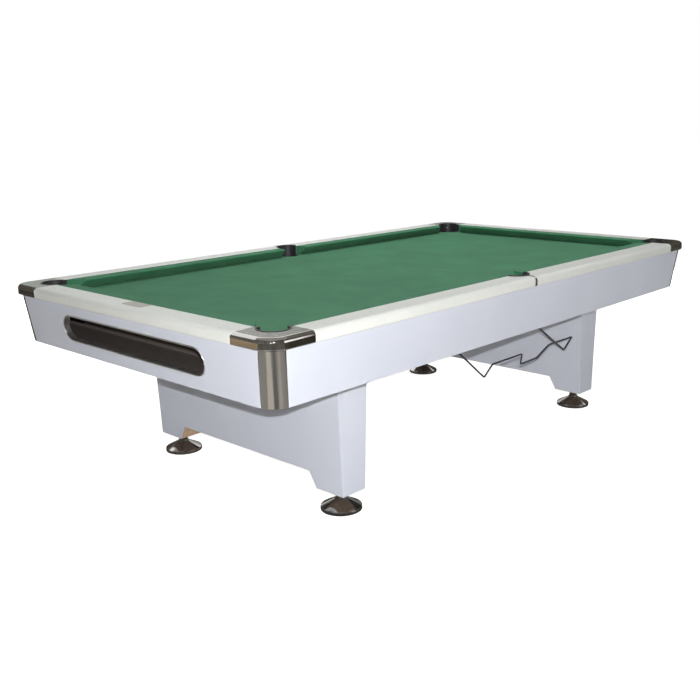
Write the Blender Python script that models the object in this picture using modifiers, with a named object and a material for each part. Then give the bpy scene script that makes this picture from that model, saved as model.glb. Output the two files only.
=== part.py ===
"""Nine-foot billiard table with a ball return.

Metres, +Z up. The origin is on the floor under the middle of the table, and +X runs along its length.
The front is the end with the ball slot (-X). Left is +Y and right is -Y, for a player at the front.
"""
import math

import bmesh
import bpy
from mathutils import Matrix, Vector

# Clearances
GAP = 0.0003
WELD = 0.00001
POCKET_CLEARANCE = 0.001
BEAM_CLEARANCE = 0.004
RUNNER_CLEARANCE = 0.003
TRAY_CLEARANCE = 0.008
CUT_MARGIN = 0.050

# Rails and corner castings
TABLE_LENGTH = 2.86
TABLE_WIDTH = 1.59
RAIL_TOP_Z = 0.808
RAIL_HEIGHT = 0.041
RAIL_WIDTH = 0.100
RAIL_TOP_RADIUS = 0.017
RAIL_BOTTOM_RADIUS = 0.006
CORNER_RADIUS = 0.075
CASTING_ARM = 0.187

# Cushions
CUSHION_DEPTH = 0.060
CUSHION_FOOT = 0.018
NOSE_RISE = 0.0363
NOSE_RADIUS = 0.005
CORNER_MOUTH = 0.127
SIDE_MOUTH = 0.146

# Pockets, their liners and the dividers at the side pockets
POCKET_RADIUS = 0.0515
CORNER_POCKET_INSET = 0.127
SIDE_POCKET_INSET = 0.100
LINER_WALL = 0.0045
LINER_LIP = 0.0015
CORNER_LIP_THICKNESS = 0.0012
SIDE_LIP_THICKNESS = 0.005
LINER_DROP = 0.004
DIVIDER_WIDTH = 0.014
DIVIDER_PROUD = 0.002

# Bed
CLOTH_THICKNESS = 0.0015
SLATE_THICKNESS = 0.0254
SLATE_MARGIN = 0.060
SLATES = ("slate_front", "slate_middle", "slate_back")

# Aprons and corner posts
APRON_HEIGHT = 0.194
APRON_THICKNESS = 0.022
APRON_SETBACK = 0.0137
APRON_LEAN = 0.022
POST_RADIUS = 0.062
POST_WALL = 0.012

# Ball slot, tray and runners
SLOT_LENGTH = 0.874
SLOT_HEIGHT = 0.095
SLOT_DROP = 0.094
BEZEL_WALL = 0.005
BEZEL_PROUD = 0.002
TRAY_LENGTH = 0.156
TRAY_WALL = 0.006
TRAY_HEIGHT = 0.085
TRAY_LIP = 0.005
TRAY_FLOOR_DROP = 0.009
RUNNER_SHEET = 0.004
RUNNER_HEIGHT = 0.035
RUNNER_DROP = 0.075
RUNNER_FALL = 0.040
RUNNER_INSET = 0.075

# Frame under the slates
FRAME_DEPTH = 0.158
BEAM_WIDTH = 0.040
BEAM_INSET = 0.070
CROSS_BEAM_LENGTH = 0.126

# Pedestals
PEDESTAL_INSET = 0.577
PEDESTAL_SETBACK = 0.039
PEDESTAL_BASE_Z = 0.080
PEDESTAL_THICKNESS_TOP = 0.162
PEDESTAL_THICKNESS_BASE = 0.121
PANEL_THICKNESS = 0.018
LEG_WIDTH = 0.141
ARCH_HEIGHT = 0.063
ARCH_SLANT = 0.036
CORE_RAIL = 0.100

# Levelling feet
FOOT_RADIUS = 0.080
FOOT_RIM = 0.014
FOOT_HEIGHT = 0.043
FOOT_NECK_RADIUS = 0.024
STEM_RADIUS = 0.019
STEM_SOCKET = 0.012
STEM_REACH = 0.050
STEM_CHAMFER = 0.002
STEM_TRAVEL = 0.020

# Wire holder: each bend as a place along the table and a drop below the frame, from the front
WIRE_DIAMETER = 0.008
WIRE_BEND = 0.010
WIRE_SOCKET = 0.020
WIRE_NECK = 0.012
WIRE_CROSSING = 0.009
WIRE_FRONT_X = -0.317
WIRE_BACK_X = 0.248
WIRE_ROUTE = ((-0.047, 0.226), (0.012, 0.180), (0.243, 0.180), (0.231, 0.225),
              (0.364, 0.223), (0.469, 0.179), (0.676, 0.180))
WIRE_RETURN = (0.575, 0.223)

# Plate on the front rail
PLATE_LENGTH = 0.115
PLATE_WIDTH = 0.048
PLATE_THICKNESS = 0.0012
PLATE_INSET = 0.070
PLATE_CORNER = 0.006

# Smoothness of round shapes
ROUND_STEPS = 32
EDGE_STEPS = 4
CORNER_STEPS = 8
SLOT_STEPS = 14
WIRE_STEPS = 3
WIRE_RINGS = 2
SMOOTH_ANGLE = math.radians(35)
FLAT_ANGLE = math.radians(1)

# Levels and places that follow from the sizes
HALF_LENGTH = TABLE_LENGTH / 2
HALF_WIDTH = TABLE_WIDTH / 2
RAIL_BOTTOM_Z = RAIL_TOP_Z - RAIL_HEIGHT
CLOTH_TOP_Z = RAIL_BOTTOM_Z - GAP
CLOTH_BOTTOM_Z = CLOTH_TOP_Z - CLOTH_THICKNESS
SLATE_TOP_Z = CLOTH_BOTTOM_Z - GAP
SLATE_BOTTOM_Z = SLATE_TOP_Z - SLATE_THICKNESS
FRAME_TOP_Z = SLATE_BOTTOM_Z - GAP
FRAME_BOTTOM_Z = FRAME_TOP_Z - FRAME_DEPTH
PEDESTAL_TOP_Z = FRAME_BOTTOM_Z - GAP
APRON_TOP_Z = RAIL_BOTTOM_Z - GAP
APRON_BOTTOM_Z = APRON_TOP_Z - APRON_HEIGHT
LINER_RADIUS = POCKET_RADIUS + LINER_WALL
LIP_RADIUS = LINER_RADIUS + LINER_LIP
LIP_BOTTOM_Z = RAIL_TOP_Z + GAP
LINER_BOTTOM_Z = SLATE_BOTTOM_Z - LINER_DROP
NOTCH_RADIUS = LINER_RADIUS + POCKET_CLEARANCE
NOSE_INSET = RAIL_WIDTH + CUSHION_DEPTH
NOSE_Z = CLOTH_TOP_Z + NOSE_RISE
CORNER_NOSE = NOSE_INSET + CORNER_MOUTH / math.sqrt(2)
BEAM_OUTER_Y = HALF_WIDTH - CORNER_POCKET_INSET - LINER_RADIUS - BEAM_CLEARANCE
BEAM_INNER_Y = BEAM_OUTER_Y - BEAM_WIDTH
PEDESTAL_X = HALF_LENGTH - PEDESTAL_INSET
PEDESTAL_SIDE_Y = BEAM_OUTER_Y - PEDESTAL_SETBACK
LEG_Y = PEDESTAL_SIDE_Y - LEG_WIDTH / 2
STEM_BOTTOM_Z = FOOT_HEIGHT - STEM_SOCKET
STEM_TOP_Z = PEDESTAL_BASE_Z + STEM_REACH
LEAN_ANGLE = math.atan2(APRON_LEAN, APRON_HEIGHT)
SLOT_CENTRE_Z = APRON_TOP_Z - SLOT_DROP * math.cos(LEAN_ANGLE)
SLOT_BOTTOM_Z = SLOT_CENTRE_Z - SLOT_HEIGHT / 2 * math.cos(LEAN_ANGLE)
TRAY_FLOOR_Z = SLOT_BOTTOM_Z - TRAY_FLOOR_DROP
TRAY_BOTTOM_Z = TRAY_FLOOR_Z - TRAY_WALL
RUNNER_BACK_Z = SLATE_BOTTOM_Z - RUNNER_DROP
RUNNER_FRONT_Z = RUNNER_BACK_Z - RUNNER_FALL
ENDS = (("front", -1), ("back", 1))
FLANKS = (("left", 1), ("right", -1))


def apron_inset(z):
    """How far the outer face of an apron lies inside the rail's edge at a height."""
    return APRON_SETBACK + APRON_LEAN * (APRON_TOP_Z - z) / APRON_HEIGHT


TRAY_FRONT_X = apron_inset(TRAY_BOTTOM_Z) + APRON_THICKNESS + GAP - HALF_LENGTH
TRAY_BACK_X = TRAY_FRONT_X + TRAY_LENGTH
TRAY_SIDE_Y = HALF_WIDTH - apron_inset(APRON_BOTTOM_Z) - APRON_THICKNESS - TRAY_CLEARANCE
RUNNER_OUTER_INSET = apron_inset(APRON_BOTTOM_Z) + APRON_THICKNESS + RUNNER_CLEARANCE
RUNNER_INNER_INSET = HALF_WIDTH - BEAM_OUTER_Y - GAP


def arc(centre_x, centre_y, radius, start, stop, steps):
    """Points on a circle between two angles in degrees."""
    points = []
    for step in range(steps + 1):
        angle = math.radians(start + (stop - start) * step / steps)
        points.append((centre_x + radius * math.cos(angle), centre_y + radius * math.sin(angle)))
    return points


def stadium(length, height):
    """A slot outline with round ends."""
    reach = (length - height) / 2
    right = arc(reach, 0, height / 2, -90, 90, SLOT_STEPS)
    left = arc(-reach, 0, height / 2, 90, 270, SLOT_STEPS)
    return right + left


def outline(loops, thickness):
    """Extrude flat outlines, the outer one first and then its holes, about the local XY plane."""
    curve = bpy.data.curves.new("outline", "CURVE")
    curve.dimensions = "2D"
    curve.fill_mode = "BOTH"
    curve.extrude = thickness / 2
    for loop in loops:
        spline = curve.splines.new("POLY")
        spline.points.add(len(loop) - 1)
        for point, (x, y) in zip(spline.points, loop):
            point.co = (x, y, 0, 1)
        spline.use_cyclic_u = True
    return solid_of_curve(curve)


def solid_of_curve(curve):
    """Turn a curve into a closed bmesh and remove the curve."""
    guide = bpy.data.objects.new("guide", curve)
    bpy.context.scene.collection.objects.link(guide)
    evaluated = guide.evaluated_get(bpy.context.evaluated_depsgraph_get())
    mesh = bpy.data.meshes.new_from_object(evaluated)
    bm = bmesh.new()
    bm.from_mesh(mesh)
    bmesh.ops.remove_doubles(bm, verts=bm.verts, dist=WELD)
    bpy.data.meshes.remove(mesh)
    bpy.data.objects.remove(guide)
    bpy.data.curves.remove(curve)
    return bm


def box(span_x, span_y, span_z):
    """A box between two limits along each axis, given in either order."""
    spans = [sorted(span) for span in (span_x, span_y, span_z)]
    size = [high - low for low, high in spans]
    centre = [(high + low) / 2 for low, high in spans]
    bm = bmesh.new()
    place = Matrix.Translation(centre) @ Matrix.Diagonal((*size, 1))
    bmesh.ops.create_cube(bm, size=1, matrix=place)
    return bm


def cylinder(x, y, radius, low, high):
    """An upright cylinder between two heights."""
    bm = bmesh.new()
    place = Matrix.Translation((x, y, (low + high) / 2))
    bmesh.ops.create_cone(bm, cap_ends=True, segments=ROUND_STEPS, radius1=radius, radius2=radius,
                          depth=high - low, matrix=place)
    return bm


def edge_point(side, inset, along, z):
    """A point given by how far it lies inside one edge of the table and its place along that edge."""
    if side == "front":
        return Vector((inset - HALF_LENGTH, along, z))
    if side == "back":
        return Vector((HALF_LENGTH - inset, along, z))
    if side == "right":
        return Vector((along, inset - HALF_WIDTH, z))
    return Vector((along, HALF_WIDTH - inset, z))


def corner_point(end, flank, u, v, z):
    """A point given by how far it lies inside the end and the long side at one corner."""
    return Vector((end * (HALF_LENGTH - u), flank * (HALF_WIDTH - v), z))


def run_along(side, profile, start, stop):
    """Sweep a profile of (inset, height) points along one edge. start and stop give where the
    sweep begins and ends for an inset and a height."""
    bm = outline([profile], 2)
    for vertex in bm.verts:
        inset, z, face = vertex.co
        limit = start if face < 0 else stop
        vertex.co = edge_point(side, inset, limit(inset, z), z)
    return bm


def closed_mesh(name, bm):
    """A mesh from a closed bmesh, with its faces pointing out."""
    bmesh.ops.recalc_face_normals(bm, faces=bm.faces)
    if bm.calc_volume(signed=True) < 0:
        bmesh.ops.reverse_faces(bm, faces=bm.faces)
    mesh = bpy.data.meshes.new(name)
    bm.to_mesh(mesh)
    bm.free()
    return mesh


def add_part(name, bm, material, location=(0, 0, 0)):
    """Make a part from a bmesh in world coordinates, with its origin at a place."""
    bmesh.ops.translate(bm, vec=-Vector(location), verts=bm.verts)
    mesh = closed_mesh(name, bm)
    mesh.shade_smooth()
    mesh.set_sharp_from_angle(angle=SMOOTH_ANGLE)
    return link_part(name, mesh, material, location)


def link_part(name, mesh, material, location):
    """Put a mesh in the table's collection as a named part."""
    mesh.materials.append(material)
    part = bpy.data.objects.new(name, mesh)
    part.location = location
    parts.objects.link(part)
    return part


def add_turned(name, profile, material, location, closed=False):
    """Turn (radius, height) points, from top to bottom on the outside, about an upright axis."""
    edges = [(first, first + 1) for first in range(len(profile) - 1)]
    if closed:
        edges.append((len(profile) - 1, 0))
    mesh = bpy.data.meshes.new(name)
    mesh.from_pydata([(radius, 0, z - location[2]) for radius, z in profile], edges, [])
    part = link_part(name, mesh, material, location)
    screw = part.modifiers.new("turn", "SCREW")
    screw.steps = ROUND_STEPS
    screw.render_steps = ROUND_STEPS
    screw.use_merge_vertices = True
    screw.merge_threshold = WELD
    return part


def add_cutter(name, bm):
    """Make a hidden solid to take away from parts."""
    cutter = bpy.data.objects.new(name, closed_mesh(name, bm))
    cutter.hide_render = True
    cutter.display_type = "WIRE"
    cutters.objects.link(cutter)
    return cutter


def cut(part, *tools):
    """Take cutters away from a part."""
    for tool in tools:
        modifier = part.modifiers.new(tool.name, "BOOLEAN")
        modifier.operation = "DIFFERENCE"
        modifier.solver = "EXACT"
        modifier.object = tool


def make_material(name, colour, roughness, metallic=0.0):
    """A plain finish from an sRGB hex colour."""
    material = bpy.data.materials.new(name)
    material.use_nodes = True
    shader = material.node_tree.nodes["Principled BSDF"]
    linear = []
    for place in (0, 2, 4):
        value = int(colour[place:place + 2], 16) / 255
        linear.append(value / 12.92 if value <= 0.04045 else ((value + 0.055) / 1.055) ** 2.4)
    shader.inputs["Base Color"].default_value = (*linear, 1)
    shader.inputs["Roughness"].default_value = roughness
    shader.inputs["Metallic"].default_value = metallic
    return material


def rail_profile(proud=0.0):
    """Section of a rail: square inside, rounded outside, optionally proud of the rail."""
    top = RAIL_TOP_Z + proud
    top_radius = RAIL_TOP_RADIUS + proud
    bottom_radius = RAIL_BOTTOM_RADIUS + proud
    upper = arc(RAIL_TOP_RADIUS, top - top_radius, top_radius, 90, 180, EDGE_STEPS)
    lower = arc(RAIL_BOTTOM_RADIUS, RAIL_BOTTOM_Z + bottom_radius, bottom_radius, 180, 270, EDGE_STEPS)
    return [(RAIL_WIDTH, RAIL_BOTTOM_Z), (RAIL_WIDTH, top)] + upper + lower


def cushion_profile():
    """Section of a cushion: flat top, rounded nose and an underside that runs back to the bed."""
    back = RAIL_WIDTH + GAP
    nose = arc(NOSE_INSET - NOSE_RADIUS, NOSE_Z, NOSE_RADIUS, 90, -50, EDGE_STEPS)
    return [(back, RAIL_BOTTOM_Z), (back, NOSE_Z + NOSE_RADIUS)] + nose + [
        (RAIL_WIDTH + CUSHION_FOOT, RAIL_BOTTOM_Z)]


def facing(sign, back, nose):
    """Slanted end of a cushion: one place along the rail at its back and another at its nose."""
    def place(inset, z):
        share = (inset - RAIL_WIDTH) / CUSHION_DEPTH
        return sign * (back + (nose - back) * share)
    return place


def square(place):
    """Square end of a sweep."""
    return lambda inset, z: place


def make_pocket_cutters():
    """Cutters for each pocket: liner bore, lip bore, bed notch and the open mouth of the liner."""
    top = RAIL_TOP_Z + CUT_MARGIN
    bottom = LINER_BOTTOM_Z - CUT_MARGIN
    height = top - bottom
    centre_z = (top + bottom) / 2
    tools = {}
    for end_name, end in ENDS:
        for flank_name, flank in FLANKS:
            name = f"{end_name}_{flank_name}"
            inset = CORNER_POCKET_INSET
            centre = corner_point(end, flank, inset, inset, 0)
            notch = arc(inset, inset, NOTCH_RADIUS, 180, -90, ROUND_STEPS)
            notch += [(inset, -CUT_MARGIN), (-CUT_MARGIN, -CUT_MARGIN), (-CUT_MARGIN, inset)]
            bed = outline([notch], height)
            for vertex in bed.verts:
                u, v, z = vertex.co
                vertex.co = corner_point(end, flank, u, v, z + centre_z)
            near = corner_point(end, flank, RAIL_WIDTH, RAIL_WIDTH, bottom)
            far = corner_point(end, flank, CASTING_ARM + LIP_RADIUS, CASTING_ARM + LIP_RADIUS, top)
            tools[name] = {
                "centre": centre,
                "bore": add_cutter(f"bore_{name}", cylinder(
                    centre.x, centre.y, LINER_RADIUS + GAP, bottom, top)),
                "bed": add_cutter(f"bed_notch_{name}", bed),
                "mouth": add_cutter(f"mouth_{name}", box(*zip(near, far))),
            }
    for flank_name, flank in FLANKS:
        name = f"side_{flank_name}"
        inset = SIDE_POCKET_INSET
        centre = Vector((0, flank * (HALF_WIDTH - inset), 0))
        notch = arc(0, inset, NOTCH_RADIUS, 180, 0, ROUND_STEPS // 2)
        notch += [(NOTCH_RADIUS, -CUT_MARGIN), (-NOTCH_RADIUS, -CUT_MARGIN)]
        bed = outline([notch], height)
        for vertex in bed.verts:
            along, v, z = vertex.co
            vertex.co = (along, flank * (HALF_WIDTH - v), z + centre_z)
        near_y = flank * (HALF_WIDTH - RAIL_WIDTH)
        far_y = flank * (HALF_WIDTH - RAIL_WIDTH - LIP_RADIUS - CUT_MARGIN)
        reach = LIP_RADIUS + CUT_MARGIN
        tools[name] = {
            "centre": centre,
            "bore": add_cutter(f"bore_{name}", cylinder(
                centre.x, centre.y, LINER_RADIUS + GAP, bottom, top)),
            "lip": add_cutter(f"lip_bore_{name}", cylinder(
                centre.x, centre.y, LIP_RADIUS + GAP, bottom, top)),
            "bed": add_cutter(f"bed_notch_{name}", bed),
            "mouth": add_cutter(f"mouth_{name}", box((-reach, reach), (near_y, far_y), (bottom, top))),
        }
    return tools


def make_bed(pockets):
    """Three slates side by side under one cloth, notched at the pockets."""
    reach_x = HALF_LENGTH - SLATE_MARGIN
    reach_y = HALF_WIDTH - SLATE_MARGIN
    length = 2 * reach_x / len(SLATES)
    for place, name in enumerate(SLATES):
        start = -reach_x + place * length + GAP / 2
        stop = start + length - GAP
        slate = add_part(name, box((start, stop), (-reach_y, reach_y), (SLATE_BOTTOM_Z, SLATE_TOP_Z)),
                         stone)
        for tools in pockets.values():
            if start - NOTCH_RADIUS < tools["centre"].x < stop + NOTCH_RADIUS:
                cut(slate, tools["bed"])
    cloth = add_part("bed_cloth", box((-reach_x, reach_x), (-reach_y, reach_y),
                                      (CLOTH_BOTTOM_Z, CLOTH_TOP_Z)), green_cloth)
    cut(cloth, *[tools["bed"] for tools in pockets.values()])


def make_rails(pockets):
    """Two end rails and two rails on each long side, each with its cushion."""
    end_reach = HALF_WIDTH - CASTING_ARM - GAP
    end_facing = (end_reach, HALF_WIDTH - CORNER_NOSE)
    for side, end in ENDS:
        add_part(f"rail_{side}", run_along(side, rail_profile(), square(-end_reach), square(end_reach)),
                 white_rail)
        add_part(f"cushion_{side}", run_along(side, cushion_profile(), facing(-1, *end_facing),
                                              facing(1, *end_facing)), green_cloth)
    corner_reach = HALF_LENGTH - CASTING_ARM - GAP
    corner_facing = (corner_reach, HALF_LENGTH - CORNER_NOSE)
    middle_reach = DIVIDER_WIDTH / 2 + GAP
    middle_facing = (LINER_RADIUS + GAP, SIDE_MOUTH / 2)
    for side, flank in FLANKS:
        for half, end in ENDS:
            rail = add_part(f"rail_{side}_{half}", run_along(
                side, rail_profile(), square(end * middle_reach), square(end * corner_reach)), white_rail)
            cut(rail, pockets[f"side_{side}"]["bore"])
            add_part(f"cushion_{side}_{half}", run_along(
                side, cushion_profile(), facing(end, *middle_facing), facing(end, *corner_facing)),
                green_cloth)
        divider = add_part(f"side_divider_{side}", run_along(
            side, rail_profile(DIVIDER_PROUD), square(-DIVIDER_WIDTH / 2), square(DIVIDER_WIDTH / 2)),
            chrome)
        cut(divider, pockets[f"side_{side}"]["lip"])


def make_corner_castings(pockets):
    """L-shaped castings that join the rails at the corners, with the rails' rounded edge."""
    radius = CORNER_RADIUS
    outer = [(CASTING_ARM, 0)] + arc(radius, radius, radius, 270, 180, CORNER_STEPS) + [(0, CASTING_ARM)]
    inner = [(RAIL_WIDTH, CASTING_ARM), (RAIL_WIDTH, RAIL_WIDTH), (CASTING_ARM, RAIL_WIDTH)]
    for end_name, end in ENDS:
        for flank_name, flank in FLANKS:
            bm = outline([outer + inner], RAIL_HEIGHT)
            bmesh.ops.dissolve_limit(bm, angle_limit=FLAT_ANGLE, verts=bm.verts, edges=bm.edges)
            for level, size in ((RAIL_HEIGHT / 2, RAIL_TOP_RADIUS), (-RAIL_HEIGHT / 2, RAIL_BOTTOM_RADIUS)):
                rim = [edge for edge in bm.edges if on_casting_rim(edge, level)]
                bmesh.ops.bevel(bm, geom=rim, offset=size, segments=EDGE_STEPS, profile=0.5,
                                affect="EDGES", clamp_overlap=False)
            for vertex in bm.verts:
                u, v, z = vertex.co
                vertex.co = corner_point(end, flank, u, v, z + RAIL_TOP_Z - RAIL_HEIGHT / 2)
            casting = add_part(f"corner_casting_{end_name}_{flank_name}", bm, chrome)
            cut(casting, pockets[f"{end_name}_{flank_name}"]["bore"])


def on_casting_rim(edge, level):
    """True for the outer edges of a casting's outline at one level."""
    for vertex in edge.verts:
        u, v, z = vertex.co
        if abs(z - level) > WELD:
            return False
        on_arc = abs(math.hypot(u - CORNER_RADIUS, v - CORNER_RADIUS) - CORNER_RADIUS) < WELD
        on_corner = on_arc and max(u, v) < CORNER_RADIUS + WELD
        if min(u, v) > WELD and not on_corner:
            return False
    along_arm = [max(vertex.co.x, vertex.co.y) for vertex in edge.verts]
    return min(along_arm) < CASTING_ARM - WELD


def make_pocket_liners(pockets):
    """Turned liners with a lip, thin over a casting and thick over a rail, open towards the bed."""
    for name, tools in pockets.items():
        thickness = SIDE_LIP_THICKNESS if name.startswith("side") else CORNER_LIP_THICKNESS
        lip_top = LIP_BOTTOM_Z + thickness
        profile = [(LIP_RADIUS, lip_top), (LIP_RADIUS, LIP_BOTTOM_Z), (LINER_RADIUS, LIP_BOTTOM_Z),
                   (LINER_RADIUS, LINER_BOTTOM_Z), (POCKET_RADIUS, LINER_BOTTOM_Z), (POCKET_RADIUS, lip_top)]
        liner = add_turned(f"pocket_liner_{name}", profile, black_plastic, tools["centre"], closed=True)
        cut(liner, tools["mouth"])


def make_aprons():
    """Four panels that lean inwards below the rails, the front one cut for the ball slot."""
    profile = [(apron_inset(APRON_TOP_Z), APRON_TOP_Z),
               (apron_inset(APRON_TOP_Z) + APRON_THICKNESS, APRON_TOP_Z),
               (apron_inset(APRON_BOTTOM_Z) + APRON_THICKNESS, APRON_BOTTOM_Z),
               (apron_inset(APRON_BOTTOM_Z), APRON_BOTTOM_Z)]

    def limit(sign, half):
        return lambda inset, z: sign * (half - apron_inset(z) - POST_RADIUS - GAP)

    for side, half in (("front", HALF_WIDTH), ("back", HALF_WIDTH),
                       ("left", HALF_LENGTH), ("right", HALF_LENGTH)):
        apron = add_part(f"apron_{side}", run_along(side, profile, limit(-1, half), limit(1, half)),
                         white_panel)
        if side == "front":
            cut(apron, make_slot())


def make_slot():
    """Bright rim in the front apron, and the cutter of the slot that holds it."""
    facing_out = Matrix.Rotation(-math.pi / 2 - LEAN_ANGLE, 4, "Y") @ Matrix.Rotation(-math.pi / 2, 4, "Z")
    face_x = apron_inset(SLOT_CENTRE_Z) - HALF_LENGTH
    place = Matrix.Translation((face_x, 0, SLOT_CENTRE_Z)) @ facing_out
    wall = APRON_THICKNESS * math.cos(LEAN_ANGLE)
    rim_length = SLOT_LENGTH + 2 * BEZEL_WALL
    rim_height = SLOT_HEIGHT + 2 * BEZEL_WALL
    bezel = outline([stadium(rim_length, rim_height), stadium(SLOT_LENGTH, SLOT_HEIGHT)],
                    wall + BEZEL_PROUD)
    bmesh.ops.transform(bezel, matrix=place @ Matrix.Translation((0, 0, (BEZEL_PROUD - wall) / 2)),
                        verts=bezel.verts)
    add_part("slot_bezel", bezel, chrome)
    opening = outline([stadium(rim_length + 2 * GAP, rim_height + 2 * GAP)], 2 * CUT_MARGIN)
    bmesh.ops.transform(opening, matrix=place, verts=opening.verts)
    return add_cutter("slot_opening", opening)


def make_corner_posts():
    """Quarter-round metal posts between the aprons, leaning with them."""
    centre = APRON_SETBACK + POST_RADIUS
    loop = arc(centre, centre, POST_RADIUS, 180, 270, CORNER_STEPS)
    loop += arc(centre, centre, POST_RADIUS - POST_WALL, 270, 180, CORNER_STEPS)
    for end_name, end in ENDS:
        for flank_name, flank in FLANKS:
            bm = outline([loop], APRON_HEIGHT)
            for vertex in bm.verts:
                u, v, height = vertex.co
                z = APRON_TOP_Z - APRON_HEIGHT / 2 + height
                lean = apron_inset(z) - APRON_SETBACK
                vertex.co = corner_point(end, flank, u + lean, v + lean, z)
            add_part(f"corner_post_{end_name}_{flank_name}", bm, steel)


def make_ball_return():
    """Tray behind the slot, and a runner under each long side that falls towards it."""
    tray = add_part("ball_tray", box((TRAY_FRONT_X, TRAY_BACK_X), (-TRAY_SIDE_Y, TRAY_SIDE_Y),
                                     (TRAY_BOTTOM_Z, TRAY_BOTTOM_Z + TRAY_HEIGHT)), black_steel)
    inside_y = TRAY_SIDE_Y - TRAY_WALL
    over = TRAY_BOTTOM_Z + TRAY_HEIGHT + CUT_MARGIN
    cut(tray,
        add_cutter("tray_inside", box((TRAY_FRONT_X + TRAY_WALL, TRAY_BACK_X - TRAY_WALL),
                                      (-inside_y, inside_y), (TRAY_FLOOR_Z, over))),
        add_cutter("tray_front", box((TRAY_FRONT_X - CUT_MARGIN, TRAY_FRONT_X + TRAY_LENGTH / 2),
                                     (-inside_y, inside_y), (TRAY_FLOOR_Z + TRAY_LIP, over))))
    start = TRAY_BACK_X + GAP
    stop = HALF_LENGTH - RUNNER_INSET
    top = RUNNER_BACK_Z + RUNNER_HEIGHT
    floor = RUNNER_BACK_Z + RUNNER_SHEET
    outer = RUNNER_OUTER_INSET
    inner = RUNNER_INNER_INSET
    profile = [(outer, RUNNER_BACK_Z), (outer, top), (outer + RUNNER_SHEET, top),
               (outer + RUNNER_SHEET, floor), (inner - RUNNER_SHEET, floor), (inner - RUNNER_SHEET, top),
               (inner, top), (inner, RUNNER_BACK_Z)]
    for side, flank in FLANKS:
        gate_y = [flank * (HALF_WIDTH - inset) for inset in (outer + RUNNER_SHEET, inner - RUNNER_SHEET)]
        cut(tray, add_cutter(f"tray_gate_{side}", box(
            (TRAY_BACK_X - TRAY_LENGTH / 2, TRAY_BACK_X + CUT_MARGIN), gate_y,
            (RUNNER_FRONT_Z + RUNNER_SHEET, over))))
        runner = run_along(side, profile, square(start), square(stop))
        for vertex in runner.verts:
            vertex.co.z -= RUNNER_FALL * (stop - vertex.co.x) / (stop - start)
        add_part(f"ball_runner_{side}", runner, black_plastic)


def make_frame():
    """Two long beams and two cross beams that carry the slates, with sockets for the wire holder."""
    height = (FRAME_BOTTOM_Z, FRAME_TOP_Z)
    for side, flank in FLANKS:
        beam = add_part(f"frame_beam_{side}", box(
            (TRAY_BACK_X + GAP, HALF_LENGTH - BEAM_INSET),
            (flank * BEAM_INNER_Y, flank * BEAM_OUTER_Y), height), timber)
        if side == "right":
            for x, y in wire_ends():
                cut(beam, add_cutter("wire_socket", cylinder(
                    x, y, WIRE_DIAMETER / 2 + GAP, FRAME_BOTTOM_Z - CUT_MARGIN,
                    FRAME_BOTTOM_Z + WIRE_SOCKET + GAP)))
    for name, end in ENDS:
        centre = end * PEDESTAL_X
        span_x = (centre - CROSS_BEAM_LENGTH / 2, centre + CROSS_BEAM_LENGTH / 2)
        add_part(f"cross_beam_{name}", box(span_x, (GAP - BEAM_INNER_Y, BEAM_INNER_Y - GAP), height), timber)


def wire_ends():
    """Where the two ends of the wire holder enter the right beam."""
    beam_y = -(BEAM_INNER_Y + BEAM_OUTER_Y) / 2
    return (WIRE_FRONT_X, beam_y + WIRE_CROSSING), (WIRE_BACK_X, beam_y - WIRE_CROSSING)


def make_wire_holder():
    """One bent rod, hung from the right beam, whose back leg passes outside its last hook."""
    (front_x, inner_y), (back_x, outer_y) = wire_ends()
    bends = [Vector((front_x, inner_y, FRAME_BOTTOM_Z - WIRE_NECK))]
    bends += [Vector((x, inner_y, FRAME_BOTTOM_Z - drop)) for x, drop in WIRE_ROUTE]
    bends.append(Vector((WIRE_RETURN[0], outer_y, FRAME_BOTTOM_Z - WIRE_RETURN[1])))
    bends.append(Vector((back_x, outer_y, FRAME_BOTTOM_Z - WIRE_NECK)))
    up = Vector((0, 0, WIRE_NECK + WIRE_SOCKET))
    corners = [bends[0] + up] + bends + [bends[-1] + up]
    points = [corners[0]]
    for before, corner, after in zip(corners, corners[1:], corners[2:]):
        first = corner + (before - corner).normalized() * WIRE_BEND
        last = corner + (after - corner).normalized() * WIRE_BEND
        for step in range(WIRE_STEPS + 1):
            share = step / WIRE_STEPS
            points.append(first.lerp(corner, share).lerp(corner.lerp(last, share), share))
    points.append(corners[-1])
    curve = bpy.data.curves.new("wire_holder", "CURVE")
    curve.dimensions = "3D"
    curve.bevel_depth = WIRE_DIAMETER / 2
    curve.bevel_resolution = WIRE_RINGS
    curve.use_fill_caps = True
    spline = curve.splines.new("POLY")
    spline.points.add(len(points) - 1)
    for point, place in zip(spline.points, points):
        point.co = (*place, 1)
    add_part("wire_holder", solid_of_curve(curve), dark_steel)


def half_thickness(z):
    """Half the thickness of a pedestal at a height."""
    share = (z - PEDESTAL_BASE_Z) / (PEDESTAL_TOP_Z - PEDESTAL_BASE_Z)
    return (PEDESTAL_THICKNESS_BASE + (PEDESTAL_THICKNESS_TOP - PEDESTAL_THICKNESS_BASE) * share) / 2


def pedestal_solid(loop, x, near, far):
    """A pedestal piece from an outline across the table. near and far give how far its two faces
    lie from the middle of the pedestal at a height."""
    bm = outline([loop], 2)
    for vertex in bm.verts:
        y, z, face = vertex.co
        offset = near(z) if face < 0 else far(z)
        vertex.co = (x + offset, y, z)
    return bm


def pedestal_outline(half):
    """Outline of a pedestal across the table for half a width, with an arch at the base."""
    base = PEDESTAL_BASE_Z
    top = PEDESTAL_TOP_Z
    arch_low = PEDESTAL_SIDE_Y - LEG_WIDTH
    arch_high = arch_low - ARCH_SLANT
    arch_z = base + ARCH_HEIGHT
    return [(-half, base), (-half, top), (half, top), (half, base), (arch_low, base),
            (arch_high, arch_z), (-arch_high, arch_z), (-arch_low, base)]


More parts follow.
